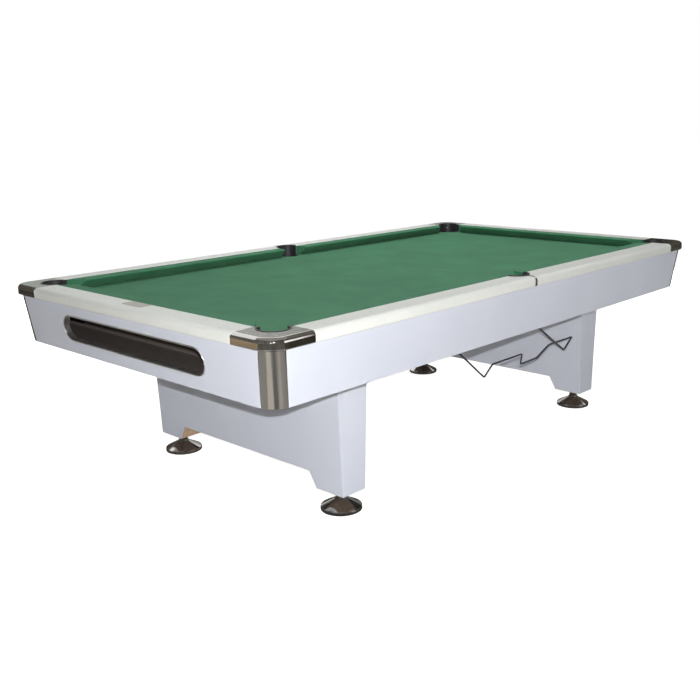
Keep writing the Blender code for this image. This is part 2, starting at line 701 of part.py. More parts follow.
def pedestal_face(sign, depth):
    """A face of a pedestal, at a depth below its outer or inner side."""
    return lambda z: sign * (half_thickness(z) - depth)


def make_pedestals():
    """Two tapering pedestals: a timber portal in an outer panel folded round its sides, closed by an
    inner panel."""
    lining = PEDESTAL_SIDE_Y - PANEL_THICKNESS
    inside = lining - GAP
    low = PEDESTAL_BASE_Z - CUT_MARGIN
    high = PEDESTAL_TOP_Z + CUT_MARGIN
    hollow = [(-lining, low), (-lining, high), (lining, high), (lining, low)]
    panel = pedestal_outline(inside)
    arch_high = panel[5][0]
    window_z = PEDESTAL_TOP_Z - CORE_RAIL
    core = panel[:6] + [(arch_high, window_z), (-arch_high, window_z)] + panel[6:]
    for name, end in ENDS:
        centre = end * PEDESTAL_X
        portal = add_part(f"pedestal_core_{name}", pedestal_solid(
            core, centre, pedestal_face(-1, PANEL_THICKNESS + GAP), pedestal_face(1, PANEL_THICKNESS + GAP)),
            timber)
        for flank_name, flank in FLANKS:
            cut(portal, add_cutter(f"stem_hole_{name}_{flank_name}", cylinder(
                centre, flank * LEG_Y, STEM_RADIUS + GAP, low, STEM_TOP_Z + STEM_TRAVEL + GAP)))
        wrap = add_part(f"pedestal_panel_{name}_outer", pedestal_solid(
            pedestal_outline(PEDESTAL_SIDE_Y), centre, pedestal_face(-1, 0), pedestal_face(1, 0)),
            white_panel)
        cut(wrap, add_cutter(f"pedestal_hollow_{name}", pedestal_solid(
            hollow, centre, pedestal_face(end, PANEL_THICKNESS), pedestal_face(-end, -CUT_MARGIN))))
        add_part(f"pedestal_panel_{name}_inner", pedestal_solid(
            panel, centre, pedestal_face(-end, PANEL_THICKNESS), pedestal_face(-end, 0)), white_panel)


def make_feet():
    """Cone-shaped levelling feet, each turned on a stem that screws into a leg."""
    socket = STEM_RADIUS + GAP
    floor = STEM_BOTTOM_Z - GAP
    disc = [(0, floor), (socket, floor), (socket, FOOT_HEIGHT), (FOOT_NECK_RADIUS, FOOT_HEIGHT),
            (FOOT_RADIUS, FOOT_RIM), (FOOT_RADIUS, 0), (0, 0)]
    stem = [(0, STEM_TOP_Z), (STEM_RADIUS - STEM_CHAMFER, STEM_TOP_Z),
            (STEM_RADIUS, STEM_TOP_Z - STEM_CHAMFER), (STEM_RADIUS, STEM_BOTTOM_Z), (0, STEM_BOTTOM_Z)]
    for end_name, end in ENDS:
        for flank_name, flank in FLANKS:
            place = (end * PEDESTAL_X, flank * LEG_Y, 0)
            add_turned(f"foot_{end_name}_{flank_name}", disc, chrome, place)
            add_turned(f"foot_stem_{end_name}_{flank_name}", stem, steel, place)


def make_plate():
    """Small bare plate on top of the front rail."""
    reach_x = PLATE_WIDTH / 2 - PLATE_CORNER
    reach_y = PLATE_LENGTH / 2 - PLATE_CORNER
    loop = []
    for x, y, start in ((reach_x, reach_y, 0), (-reach_x, reach_y, 90),
                        (-reach_x, -reach_y, 180), (reach_x, -reach_y, 270)):
        loop += arc(x, y, PLATE_CORNER, start, start + 90, EDGE_STEPS)
    bm = outline([loop], PLATE_THICKNESS)
    place = (PLATE_INSET - HALF_LENGTH, 0, RAIL_TOP_Z + GAP + PLATE_THICKNESS / 2)
    bmesh.ops.translate(bm, vec=place, verts=bm.verts)
    add_part("name_plate", bm, steel)


for old in list(bpy.data.objects):
    bpy.data.objects.remove(old)

parts = bpy.data.collections.new("billiard_table")
cutters = bpy.data.collections.new("billiard_table_cutters")
bpy.context.scene.collection.children.link(parts)
bpy.context.scene.collection.children.link(cutters)

white_rail = make_material("white_laminate_rail", "E6E5DC", 0.35)
white_panel = make_material("white_laminate_panel", "DDE1EA", 0.40)
green_cloth = make_material("green_billiard_cloth", "518065", 0.95)
chrome = make_material("polished_chrome", "C9C7C4", 0.12, 1.0)
steel = make_material("brushed_stainless_steel", "B8B4AE", 0.32, 1.0)
dark_steel = make_material("dark_steel_rod", "3A3B3D", 0.45, 1.0)
black_steel = make_material("dark_painted_steel", "34302F", 0.60)
black_plastic = make_material("black_moulded_plastic", "1B1A19", 0.50)
stone = make_material("slate", "4A4D50", 0.80)
timber = make_material("pine_timber", "C9A878", 0.70)

pocket_tools = make_pocket_cutters()
make_bed(pocket_tools)
make_rails(pocket_tools)
make_corner_castings(pocket_tools)
make_pocket_liners(pocket_tools)
make_aprons()
make_corner_posts()
make_ball_return()
make_frame()
make_wire_holder()
make_pedestals()
make_feet()
make_plate()
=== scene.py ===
import math

import bpy
from mathutils import Matrix, Vector


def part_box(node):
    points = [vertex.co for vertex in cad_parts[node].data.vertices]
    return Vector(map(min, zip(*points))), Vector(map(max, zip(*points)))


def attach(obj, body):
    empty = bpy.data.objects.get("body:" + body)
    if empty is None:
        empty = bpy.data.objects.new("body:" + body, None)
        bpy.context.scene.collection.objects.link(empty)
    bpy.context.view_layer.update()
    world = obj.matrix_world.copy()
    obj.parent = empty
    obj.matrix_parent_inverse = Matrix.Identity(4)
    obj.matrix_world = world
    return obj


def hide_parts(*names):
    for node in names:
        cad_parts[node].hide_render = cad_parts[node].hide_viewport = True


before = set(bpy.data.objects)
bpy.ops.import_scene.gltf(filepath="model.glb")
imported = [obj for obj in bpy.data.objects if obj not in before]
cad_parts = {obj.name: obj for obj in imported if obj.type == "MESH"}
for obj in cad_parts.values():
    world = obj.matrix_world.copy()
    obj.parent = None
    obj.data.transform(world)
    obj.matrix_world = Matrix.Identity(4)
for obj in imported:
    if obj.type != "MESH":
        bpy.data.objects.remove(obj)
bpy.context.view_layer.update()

# Camera
# It stands off the front right corner at eye height and looks a little down along the table.
# Its place, turn and lens belong to a square picture of 700 by 700 pixels.
PICTURE = 700
FOCAL = 904.084
CENTRE_X, CENTRE_Y = 375.48, 355.48
YAW, PITCH, ROLL = 0.8296, 0.2535, -0.0138
EYE = Vector((-3.1168, -2.7572, 1.4267))
SENSOR = 36

ahead = Vector((math.sin(YAW) * math.cos(PITCH), math.cos(YAW) * math.cos(PITCH), -math.sin(PITCH)))
level = ahead.cross(Vector((0, 0, 1))).normalized()
upright = level.cross(ahead)
eye_right = level * math.cos(ROLL) + upright * math.sin(ROLL)
eye_up = upright * math.cos(ROLL) - level * math.sin(ROLL)
bpy.ops.object.select_all(action="DESELECT")
bpy.ops.object.camera_add()
camera = bpy.context.object
camera.matrix_world = Matrix.Translation(EYE) @ Matrix((eye_right, eye_up, -ahead)).transposed().to_4x4()
camera.data.sensor_width = SENSOR
camera.data.lens = FOCAL / PICTURE * SENSOR
camera.data.shift_x = (PICTURE / 2 - CENTRE_X) / PICTURE
camera.data.shift_y = (CENTRE_Y - PICTURE / 2) / PICTURE
bpy.context.scene.camera = camera

# Studio
# A plain pale floor in a white room, lit by a lamp at the lens, a panel overhead and one on each other side.
# Flags from dark to pale stand round it, seen only in shiny surfaces, so that these don't look washed out:
# they glow with painted reflections of a darker room, and the shade flag under the table is a painted shadow.
FLOOR_SIZE = 80
FLOOR_PAINT = "E6E3DE"
FLOOR_LIFT = 0.90
ROOM_LIGHT = 0.15
LAMP_RISE, LAMP_RIGHT = 0.102, 0.02
LAMPS = (
    ("lens_lamp", EYE + eye_up * LAMP_RISE + eye_right * LAMP_RIGHT, (-0.3, -0.2, 0.6), 0.02, 92, True),
    ("ceiling_panel", Vector((0.7, 0.4, 3.3)), (0.5, 0.2, 0.8), 2.2, 52, False),
    ("right_panel", Vector((1.0, -4.6, 1.4)), (1.0, 0, 0.5), 2.4, 24, True),
    ("left_panel", Vector((0, 4.8, 0.55)), (0, 0, 0.5), 1.0, 80, False),
    ("back_panel", Vector((5.4, 0, 0.55)), (0, 0, 0.5), 1.0, 80, False),
)
LYING, ALONG_X, ALONG_Y = (0, 0, 0), (math.pi / 2, 0, 0), (math.pi / 2, 0, math.pi / 2)
FLAGS = (
    ("floor_flag", (0, 0, 0.0005), LYING, 13.0, 17.0, ("55524E", "6B6863")),
    ("near_flag", (-1.65, -0.95, 0.0006), LYING, 3.0, 3.2, ("969492", "A5A3A1")),
    ("left_patch_flag", (-2.67, -1.20, 0.0007), (0, 0, math.radians(20)), 1.6, 0.6, ("D2CDC6", "DCD8D1")),
    ("middle_patch_flag", (-2.18, -1.85, 0.0007), (0, 0, math.radians(54)), 1.6, 0.42, ("706F6D", "7A7977")),
    ("right_patch_flag", (-1.50, -2.11, 0.0007), (0, 0, math.radians(84)), 1.6, 0.36, ("B8B6B2", "C2C0BC")),
    # The shade flag is a painted shadow: a dark sheet under the table, seen only in shiny surfaces.
    ("shade_flag", (0, 0, 0.0008), LYING, 3.2, 2.0, ("383735", "4A4845")),
    ("brown_flag", (-3.6, 1.7, 0.0008), LYING, 2.6, 2.2, ("94816A", "AA967C")),
    ("dim_left_flag", (-3.6, 4.9, 0.0008), LYING, 4.4, 3.4, ("38342F", "4C4740")),
    ("dim_right_flag", (1.4, -3.4, 0.0008), LYING, 3.6, 3.6, ("33302B", "4A463F")),
    ("right_flag", (0, -6.5, 5.0), ALONG_X, 13.0, 10.0, ("383735", "6B6965")),
    ("back_flag", (6.5, -1.55, 2.15), ALONG_Y, 9.9, 4.3, ("302E2B", "645F56")),
    ("back_high_flag", (6.5, -0.55, 7.65), ALONG_Y, 11.9, 4.7, ("4A4743", "7E7A72")),
    ("back_grey_flag", (6.5, 6.45, 1.805), ALONG_Y, 6.1, 3.61, ("90948F", "B4B8B3")),
    ("back_line_flag", (6.5, 6.45, 3.83), ALONG_Y, 6.1, 0.30, ("3B3833", "57534B")),
    ("front_flag", (-6.5, 0.9, 5.0), ALONG_Y, 14.8, 10.0, ("494744", "7B7873")),
    ("left_low_flag", (-0.5, 8.3, 0.8), ALONG_X, 12.0, 1.6, ("3B3831", "746D60")),
    ("left_dim_flag", (-2.35, 8.3, 3.8), ALONG_X, 8.3, 4.4, ("3B3833", "68645C")),
    ("left_middle_flag", (2.275, 8.3, 2.55), ALONG_X, 0.95, 1.9, ("8E948F", "A5ABA6")),
    ("left_grey_flag", (4.125, 8.3, 2.55), ALONG_X, 2.75, 1.9, ("B4BAB5", "D8DED9")),
    ("ceiling_flag", (0, 0.9, 10.0), LYING, 13.0, 14.8, ("85827D", "A3A09B")),
)
FLAG_PATCH = 900


def linear(code):
    """An sRGB hex colour as linear red, green, blue and alpha."""
    values = [int(code[place:place + 2], 16) / 255 for place in (0, 2, 4)]
    return [value / 12.92 if value <= 0.04045 else ((value + 0.055) / 1.055) ** 2.4 for value in values] + [1]


def per_mm(size):
    """Scale of a noise whose patches are so many millimetres across."""
    return 1000 / size


def add_node(tree, kind, sockets=None, **settings):
    """Add a node with its settings. A socket gets a value, or a link where it is given an output."""
    node = tree.nodes.new(kind)
    for name, value in settings.items():
        setattr(node, name, value)
    for name, value in (sockets or {}).items():
        if isinstance(value, bpy.types.NodeSocket):
            tree.links.new(value, node.inputs[name])
        else:
            node.inputs[name].default_value = value
    return node


def start_finish(name):
    """A new material without nodes, its node tree and its Object coordinates."""
    finish = bpy.data.materials.new(name)
    finish.use_nodes = True
    finish.node_tree.nodes.clear()
    return finish, finish.node_tree, add_node(finish.node_tree, "ShaderNodeTexCoord").outputs["Object"]


def close_finish(tree, sockets):
    """End a material with its shader and output."""
    shader = add_node(tree, "ShaderNodeBsdfPrincipled", sockets)
    add_node(tree, "ShaderNodeOutputMaterial", {"Surface": shader.outputs[0]})


def seen_directly(tree):
    """One for what the eye sees straight, in polished metal or through glass, and nothing for other light."""
    path = add_node(tree, "ShaderNodeLightPath")
    shiny = add_node(tree, "ShaderNodeMath", {
        0: path.outputs["Is Camera Ray"], 1: path.outputs["Is Glossy Ray"]}, operation="MAXIMUM")
    return add_node(tree, "ShaderNodeMath", {0: shiny.outputs[0], 1: path.outputs["Is Transmission Ray"]},
                    operation="MAXIMUM").outputs[0]


def placed(name):
    """Name the primitive just added and put its place into its mesh."""
    piece = bpy.context.object
    piece.name = piece.data.name = name
    bpy.ops.object.transform_apply(location=True, rotation=True, scale=True)
    return piece


bpy.context.scene.view_settings.view_transform = "Standard"
room = bpy.data.worlds.new("white_room")
bpy.context.scene.world = room
room.use_nodes = True
tree = room.node_tree
tree.nodes.clear()
strength = add_node(tree, "ShaderNodeMath", {
    0: seen_directly(tree), 1: 1 - ROOM_LIGHT, 2: ROOM_LIGHT}, operation="MULTIPLY_ADD")
glow = add_node(tree, "ShaderNodeBackground", {"Color": (1, 1, 1, 1), "Strength": strength.outputs[0]})
add_node(tree, "ShaderNodeOutputWorld", {"Surface": glow.outputs[0]})

bpy.ops.mesh.primitive_plane_add(size=FLOOR_SIZE)
floor = placed("floor")
paint, tree, place = start_finish("pale_floor_paint")
lift = add_node(tree, "ShaderNodeMath", {0: seen_directly(tree), 1: FLOOR_LIFT}, operation="MULTIPLY")
close_finish(tree, {
    "Base Color": linear(FLOOR_PAINT), "Roughness": 0.9, "Specular IOR Level": 0.0,
    "Emission Color": (1, 1, 1, 1), "Emission Strength": lift.outputs[0]})
floor.data.materials.append(paint)

for name, place, turn, wide, tall, (dark, light) in FLAGS:
    bpy.ops.object.select_all(action="DESELECT")
    bpy.ops.mesh.primitive_plane_add(size=1, location=place, rotation=turn)
    bpy.context.object.scale = (wide, tall, 1)
    flag = placed(name)
    for sight in ("camera", "diffuse", "transmission", "volume_scatter", "shadow"):
        setattr(flag, f"visible_{sight}", False)
    # Each flag glows with its colours as a painted reflection, mottled at random between its dark and its
    # light.
    painted_reflection, tree, place = start_finish(f"{name}_felt")
    reflection_mottle = add_node(tree, "ShaderNodeTexNoise", {
        "Vector": place, "Scale": per_mm(FLAG_PATCH), "Detail": 1.0})
    spread = add_node(tree, "ShaderNodeMapRange", {
        "Value": reflection_mottle.outputs[0], "From Min": 0.35, "From Max": 0.65})
    tone = add_node(tree, "ShaderNodeMix", {
        0: spread.outputs[0], 6: linear(dark), 7: linear(light)}, data_type="RGBA")
    shade = add_node(tree, "ShaderNodeEmission", {"Color": tone.outputs[2], "Strength": 1.0})
    add_node(tree, "ShaderNodeOutputMaterial", {"Surface": shade.outputs[0]})
    flag.data.materials.append(painted_reflection)

for name, place, target, size, power, mirrored in LAMPS:
    bpy.ops.object.light_add(type="AREA", location=place)
    lamp = bpy.context.object
    lamp.name = name
    lamp.data.energy = power
    lamp.data.size = size
    lamp.visible_glossy = mirrored
    lamp.rotation_euler = (Vector(target) - place).to_track_quat("-Z", "Y").to_euler()

# Levelling feet
# Turned steel feet with a cone-shaped top and a socketed boss for the stem, polished and chrome plated.
# They stand on the floor under the four legs, and the table rests on them.
CORNERS = (("front_left", -1, 1), ("front_right", -1, -1), ("back_left", 1, 1), ("back_right", 1, -1))
FOOT_RADIUS = 0.080
FOOT_RIM = 0.014
FOOT_HEIGHT = 0.043
BOSS_TOP = 0.0485
NECK_RADIUS = 0.024
SOCKET_RADIUS = 0.0193
SOCKET_FLOOR = 0.0307
EDGE_ROUND = 0.003
EDGE_STEPS = 6
SOLE_EASE = 0.002
NECK_FILLET = 0.001
FOOT_SIDES = 96
SMOOTH = math.radians(32)
CHROME = "D8D6D2"


def activate(piece):
    """Select one piece alone, in object mode."""
    if bpy.context.object and bpy.context.object.mode != "OBJECT":
        bpy.ops.object.mode_set(mode="OBJECT")
    bpy.ops.object.select_all(action="DESELECT")
    piece.select_set(True)
    bpy.context.view_layer.objects.active = piece


def face_outwards():
    """Turn the faces of the piece in edit mode outwards and leave edit mode."""
    bpy.ops.mesh.select_all(action="SELECT")
    bpy.ops.mesh.normals_make_consistent(inside=False)
    bpy.ops.object.mode_set(mode="OBJECT")


def turned(name, rings, sides, fill="NGON"):
    """Model a turned piece at the origin: a disc, or an open circle, is drawn out and each new rim scaled,
    by (radius, height)."""
    radius, height = rings[0]
    bpy.ops.object.select_all(action="DESELECT")
    bpy.ops.mesh.primitive_circle_add(vertices=sides, radius=radius, fill_type=fill, location=(0, 0, height))
    piece = placed(name)
    bpy.ops.object.mode_set(mode="EDIT")
    bpy.ops.mesh.select_all(action="SELECT")
    for next_radius, next_height in rings[1:]:
        bpy.ops.mesh.extrude_region_move(TRANSFORM_OT_translate={"value": (0, 0, next_height - height)})
        grow = next_radius / radius
        bpy.ops.transform.resize(value=(grow, grow, 1), center_override=(0, 0, next_height))
        radius, height = next_radius, next_height
    face_outwards()
    return piece


def copied(piece, name, matrix):
    """A copy of a piece with its own mesh, moved or mirrored."""
    copy = piece.copy()
    copy.data = piece.data.copy()
    copy.name = copy.data.name = name
    bpy.context.scene.collection.objects.link(copy)
    copy.data.transform(matrix)
    if matrix.determinant() < 0:
        copy.data.flip_normals()
    return copy


def smooth(piece, finish):
    """Shade a finished piece smooth up to its sharp edges, its large faces flat, and give it its material."""
    activate(piece)
    bpy.ops.object.shade_smooth_by_angle(angle=SMOOTH)
    bpy.ops.object.modifier_add(type="WEIGHTED_NORMAL")
    piece.modifiers[-1].keep_sharp = True
    bpy.ops.object.modifier_apply(modifier=piece.modifiers[-1].name)
    piece.data.materials.clear()
    piece.data.materials.append(finish)
    return piece


def to_middle_of(node):
    """The way from the origin to the middle of a solid, seen from above."""
    low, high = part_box(node)
    middle = (low + high) / 2
    return Matrix.Translation((middle.x, middle.y, 0))


# Polished chrome plate: a hard mirror, with faint smears from wiping and a slight ripple of the metal below.
chrome, tree, place = start_finish("polished_chrome_plate")
smears = add_node(tree, "ShaderNodeTexNoise", {"Vector": place, "Scale": per_mm(30), "Detail": 5.0})
gloss = add_node(tree, "ShaderNodeMapRange", {
    "Value": smears.outputs[0], "From Min": 0.35, "From Max": 0.70, "To Min": 0.05, "To Max": 0.15})
ripple = add_node(tree, "ShaderNodeTexNoise", {"Vector": place, "Scale": per_mm(14), "Detail": 1.0})
waves = add_node(tree, "ShaderNodeBump", {"Height": ripple.outputs[0], "Strength": 0.05, "Distance": 0.001})
close_finish(tree, {
    "Base Color": linear(CHROME), "Metallic": 1.0, "Roughness": gloss.outputs[0], "Normal": waves.outputs[0]})

slope = math.atan2(FOOT_HEIGHT - FOOT_RIM, FOOT_RADIUS - NECK_RADIUS)
edge_z = FOOT_RIM - EDGE_ROUND * math.tan((math.pi / 2 - slope) / 2)
rings = [(FOOT_RADIUS - SOLE_EASE, 0), (FOOT_RADIUS - SOLE_EASE * 0.25, SOLE_EASE * 0.3),
         (FOOT_RADIUS, SOLE_EASE)]
for step in range(EDGE_STEPS + 1):
    turn = (math.pi / 2 - slope) * step / EDGE_STEPS
    rings.append((FOOT_RADIUS - EDGE_ROUND * (1 - math.cos(turn)), edge_z + EDGE_ROUND * math.sin(turn)))
rings += [(NECK_RADIUS + NECK_FILLET, FOOT_HEIGHT - NECK_FILLET * 0.4),
          (NECK_RADIUS, FOOT_HEIGHT + NECK_FILLET * 0.8)]
for step in range(EDGE_STEPS + 1):
    turn = math.pi / 2 * step / EDGE_STEPS
    rings.append((NECK_RADIUS - EDGE_ROUND * (1 - math.cos(turn)),
                  BOSS_TOP - EDGE_ROUND * (1 - math.sin(turn))))
rings += [(SOCKET_RADIUS, BOSS_TOP), (SOCKET_RADIUS, SOCKET_FLOOR)]
foot_pattern = turned("foot_pattern", rings, FOOT_SIDES)
for corner, _, _ in CORNERS:
    foot = smooth(copied(foot_pattern, f"levelling_foot_{corner}", to_middle_of(f"foot_{corner}")), chrome)
    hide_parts(f"foot_{corner}")
    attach(foot, f"foot_{corner}")
bpy.data.objects.remove(foot_pattern)

# Stems
# Steel stems with a rolled thread, which turn in the feet and screw up into the legs to level the table.
# The thread is drawn as rings, and plain ends are left at the top and in the socket.
STEM_RADIUS = 0.019
STEM_LOW, STEM_HIGH = 0.0310, 0.1300
THREAD_PITCH = 0.0025
THREAD_DEPTH = 0.0011
THREAD_SHAPE = ((THREAD_DEPTH, 0), (THREAD_DEPTH, 0.15), (0, 0.5), (0, 0.65))
PLAIN_END = 0.019
STEM_EASE, STEM_POINT = 0.0015, 0.002
STEM_SIDES = 64
STEEL_LIGHT, STEEL_DARK = "D2CEC8", "C0BCB5"


def brushed_steel(name, grain, finest, coarsest):
    """Stainless steel brushed one way: fine streaks, drawn coarse enough to show, and reflections drawn out
    across them, sharper or duller with how fine and coarse the brushing is."""
    finish, tree, place = start_finish(name)
    streak = add_node(tree, "ShaderNodeMapping", {"Vector": place, "Scale": grain})
    lines = add_node(tree, "ShaderNodeTexNoise", {"Vector": streak.outputs[0], "Scale": 1.0, "Detail": 2.0})
    tone = add_node(tree, "ShaderNodeMix", {
        0: lines.outputs[0], 6: linear(STEEL_DARK), 7: linear(STEEL_LIGHT)}, data_type="RGBA")
    gloss = add_node(tree, "ShaderNodeMapRange", {
        "Value": lines.outputs[0], "From Min": 0.3, "From Max": 0.7, "To Min": finest, "To Max": coarsest})
    scratch = add_node(tree, "ShaderNodeBump", {
        "Height": lines.outputs[0], "Strength": 0.03, "Distance": 0.0003})
    close_finish(tree, {
        "Base Color": tone.outputs[2], "Metallic": 1.0, "Roughness": gloss.outputs[0], "Anisotropic": 0.3,
        "Normal": scratch.outputs[0]})
    return finish


upright_grain = (per_mm(3), per_mm(3), per_mm(400))
upright_steel = brushed_steel("stainless_steel_brushed_upright", upright_grain, 0.10, 0.14)
turned_grain = (per_mm(18), per_mm(18), per_mm(0.8))
turned_steel = brushed_steel("stainless_steel_turned", turned_grain, 0.10, 0.14)

rings = [(STEM_RADIUS - STEM_EASE, STEM_LOW), (STEM_RADIUS, STEM_LOW + STEM_EASE),
         (STEM_RADIUS, STEM_LOW + PLAIN_END)]
height = STEM_LOW + PLAIN_END + THREAD_PITCH / 2
while height < STEM_HIGH - 2 * THREAD_PITCH:
    rings += [(STEM_RADIUS - depth, height + THREAD_PITCH * share) for depth, share in THREAD_SHAPE]
    height += THREAD_PITCH
rings += [(STEM_RADIUS, STEM_HIGH - STEM_POINT), (STEM_RADIUS - STEM_POINT, STEM_HIGH)]
stem_pattern = turned("stem_pattern", rings, STEM_SIDES)
for corner, _, _ in CORNERS:
    stem = copied(stem_pattern, f"threaded_stem_{corner}", to_middle_of(f"foot_stem_{corner}"))
    smooth(stem, turned_steel)
    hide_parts(f"foot_stem_{corner}")
    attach(stem, f"stem_{corner}")
bpy.data.objects.remove(stem_pattern)

# Pedestals
# Each is a portal of softwood in a board panel that folds round its sides, closed by an inner panel.
# The panels are faced with white laminate, bare board shows in the arch, and the faces that look down are a
# darker brown, a painted shade.
PANEL_EDGE = 0.0012
TIMBER_EDGE = 0.0015
EASE_STEPS = 3
SHARP, FLAT = math.radians(40), math.radians(0.5)
SAME = 0.00002
PINE_LIGHT, PINE_DARK = "DDBFA2", "BE9A7C"
CHIP_LIGHT, CHIP_DARK = "DDBFA4", "C4A284"
UNDERSIDE_SHADE = "94857D"
CUT_EDGE, FLAT_BELOW = -0.3, -0.9
PANEL_LIGHT, PANEL_DARK = "E2E6F1", "D6DBE8"


def ease(piece, edge):
    """Round the sharp edges of a piece a little."""
    activate(piece)
    bevel = piece.modifiers.new("eased", "BEVEL")
    bevel.width = edge
    bevel.segments = EASE_STEPS
    bevel.limit_method = "ANGLE"
    bevel.angle_limit = SHARP
    bevel.use_clamp_overlap = False
    bpy.ops.object.modifier_apply(modifier=bevel.name)


def skin_of(node, name, edge):
    """A copy of a solid with its loose faces joined and its sharp edges eased."""
    piece = bpy.data.objects.new(name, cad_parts[node].data.copy())
    piece.data.name = name
    bpy.context.scene.collection.objects.link(piece)
    activate(piece)
    bpy.ops.mesh.customdata_custom_splitnormals_clear()
    bpy.ops.object.mode_set(mode="EDIT")
    bpy.ops.mesh.select_all(action="SELECT")
    bpy.ops.mesh.remove_doubles(threshold=SAME)
    bpy.ops.mesh.dissolve_limited(angle_limit=FLAT)
    bpy.ops.object.mode_set(mode="OBJECT")
    ease(piece, edge)
    return piece


def pine(name, grain):
    """Planed softwood: growth rings cut along the board give long soft bands and fine fibres."""
    finish, tree, place = start_finish(name)
    board = add_node(tree, "ShaderNodeMapping", {"Vector": place, "Scale": grain})
    bands = add_node(tree, "ShaderNodeTexNoise", {
        "Vector": board.outputs[0], "Scale": 1.0, "Detail": 6.0, "Distortion": 0.6})
    tone = add_node(tree, "ShaderNodeMix", {
        0: bands.outputs[0], 6: linear(PINE_DARK), 7: linear(PINE_LIGHT)}, data_type="RGBA")
    fibres = add_node(tree, "ShaderNodeBump", {
        "Height": bands.outputs[0], "Strength": 0.25, "Distance": 0.0006})
    close_finish(tree, {"Base Color": tone.outputs[2], "Roughness": 0.68, "Normal": fibres.outputs[0]})
    return finish


# White laminate on board: a hard satin sheet with a very fine pebble and faint clouding.
panel, tree, place = start_finish("white_laminate_board")
clouds = add_node(tree, "ShaderNodeTexNoise", {"Vector": place, "Scale": per_mm(260), "Detail": 3.0})
tone = add_node(tree, "ShaderNodeMix", {
    0: clouds.outputs[0], 6: linear(PANEL_DARK), 7: linear(PANEL_LIGHT)}, data_type="RGBA")
pebble = add_node(tree, "ShaderNodeTexNoise", {"Vector": place, "Scale": per_mm(1.8), "Detail": 2.0})
gloss = add_node(tree, "ShaderNodeMapRange", {
    "Value": clouds.outputs[0], "From Min": 0.3, "From Max": 0.7, "To Min": 0.34, "To Max": 0.46})
grain = add_node(tree, "ShaderNodeBump", {"Height": pebble.outputs[0], "Strength": 0.06, "Distance": 0.0004})
close_finish(tree, {
    "Base Color": tone.outputs[2], "Roughness": gloss.outputs[0], "IOR": 1.5, "Normal": grain.outputs[0]})

# Sawn chipboard: pressed chips, tan and rough, bare where a panel was cut and not faced.
chipboard, tree, place = start_finish("sawn_chipboard")
chips = add_node(tree, "ShaderNodeTexVoronoi", {"Vector": place, "Scale": per_mm(5)})
tone = add_node(tree, "ShaderNodeMix", {
    0: chips.outputs["Color"], 6: linear(CHIP_DARK), 7: linear(CHIP_LIGHT)}, data_type="RGBA")
rough = add_node(tree, "ShaderNodeBump", {
    "Height": chips.outputs["Distance"], "Strength": 0.3, "Distance": 0.0008})
close_finish(tree, {"Base Color": tone.outputs[2], "Roughness": 0.85, "Normal": rough.outputs[0]})

# Underside brown: a darker brown on the faces that look down, a painted shade under the pedestals, streaky
# and dull.
underside_shade, tree, place = start_finish("painted_underside_shade")
strokes = add_node(tree, "ShaderNodeMapping", {"Vector": place, "Scale": (per_mm(6), per_mm(90), per_mm(6))})
brushed = add_node(tree, "ShaderNodeTexNoise", {"Vector": strokes.outputs[0], "Scale": 1.0, "Detail": 3.0})
gloss = add_node(tree, "ShaderNodeMapRange", {"Value": brushed.outputs[0], "To Min": 0.55, "To Max": 0.8})
relief = add_node(tree, "ShaderNodeBump", {"Height": brushed.outputs[0], "Strength": 0.3, "Distance": 0.0005})
close_finish(tree, {"Base Color": linear(UNDERSIDE_SHADE), "Roughness": gloss.outputs[0], "Normal": relief.outputs[0]})

upright_pine = pine("planed_pine_upright", (per_mm(14), per_mm(14), per_mm(220)))
for end in ("front", "back"):
    core = smooth(skin_of(f"pedestal_core_{end}", f"pedestal_portal_{end}", TIMBER_EDGE), upright_pine)
    # Faces that look down get the darker brown, a painted shade.
    core.data.materials.append(underside_shade)
    for face in core.data.polygons:
        face.material_index = int(face.normal.z < FLAT_BELOW)
    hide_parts(f"pedestal_core_{end}")
    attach(core, "table")
    for side in ("outer", "inner"):
        board = skin_of(f"pedestal_panel_{end}_{side}", f"pedestal_board_{end}_{side}", PANEL_EDGE)
        smooth(board, panel)
        board.data.materials.append(chipboard)
        # Faces that look down get the darker brown, a painted shade.
        board.data.materials.append(underside_shade)
        for face in board.data.polygons:
            face.material_index = int(face.normal.z < CUT_EDGE) + int(face.normal.z < FLAT_BELOW)
        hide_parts(f"pedestal_panel_{end}_{side}")
        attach(board, "table")

# Frame
# Two long softwood beams and two cross beams over the pedestals, which carry the slates.
# The long beams are planed along the table and the cross beams across it.
long_pine = pine("planed_pine_along", (per_mm(240), per_mm(14), per_mm(14)))
cross_pine = pine("planed_pine_across", (per_mm(14), per_mm(240), per_mm(14)))
for node, name, finish in (("frame_beam_left", "long_beam_left", long_pine),
                           ("frame_beam_right", "long_beam_right", long_pine),
                           ("cross_beam_front", "short_beam_front", cross_pine),
                           ("cross_beam_back", "short_beam_back", cross_pine)):
    beam = smooth(skin_of(node, name, TIMBER_EDGE), finish)
    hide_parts(node)
    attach(beam, "table")

# Ball return
# A folded sheet-steel tray behind the slot, sprayed dark brown, fed by a moulded runner under each long side.
# Both are hung from the frame and the aprons.
SHEET_EDGE = 0.0008
TRAY_LIGHT, TRAY_DARK = "6E6662", "554E4A"
PLASTIC_LIGHT, PLASTIC_DARK = "3B383C", "28262A"

# Sprayed paint on sheet steel: dark and dull, with a fine orange peel and scuffs from rolling balls.
tray_paint, tree, place = start_finish("sprayed_dark_paint")
scuffs = add_node(tree, "ShaderNodeTexNoise", {"Vector": place, "Scale": per_mm(25), "Detail": 6.0})
tone = add_node(tree, "ShaderNodeMix", {
    0: scuffs.outputs[0], 6: linear(TRAY_DARK), 7: linear(TRAY_LIGHT)}, data_type="RGBA")
peel = add_node(tree, "ShaderNodeTexNoise", {"Vector": place, "Scale": per_mm(1.5)})
bumps = add_node(tree, "ShaderNodeBump", {"Height": peel.outputs[0], "Strength": 0.15, "Distance": 0.0005})
close_finish(tree, {"Base Color": tone.outputs[2], "Roughness": 0.62, "Normal": bumps.outputs[0]})

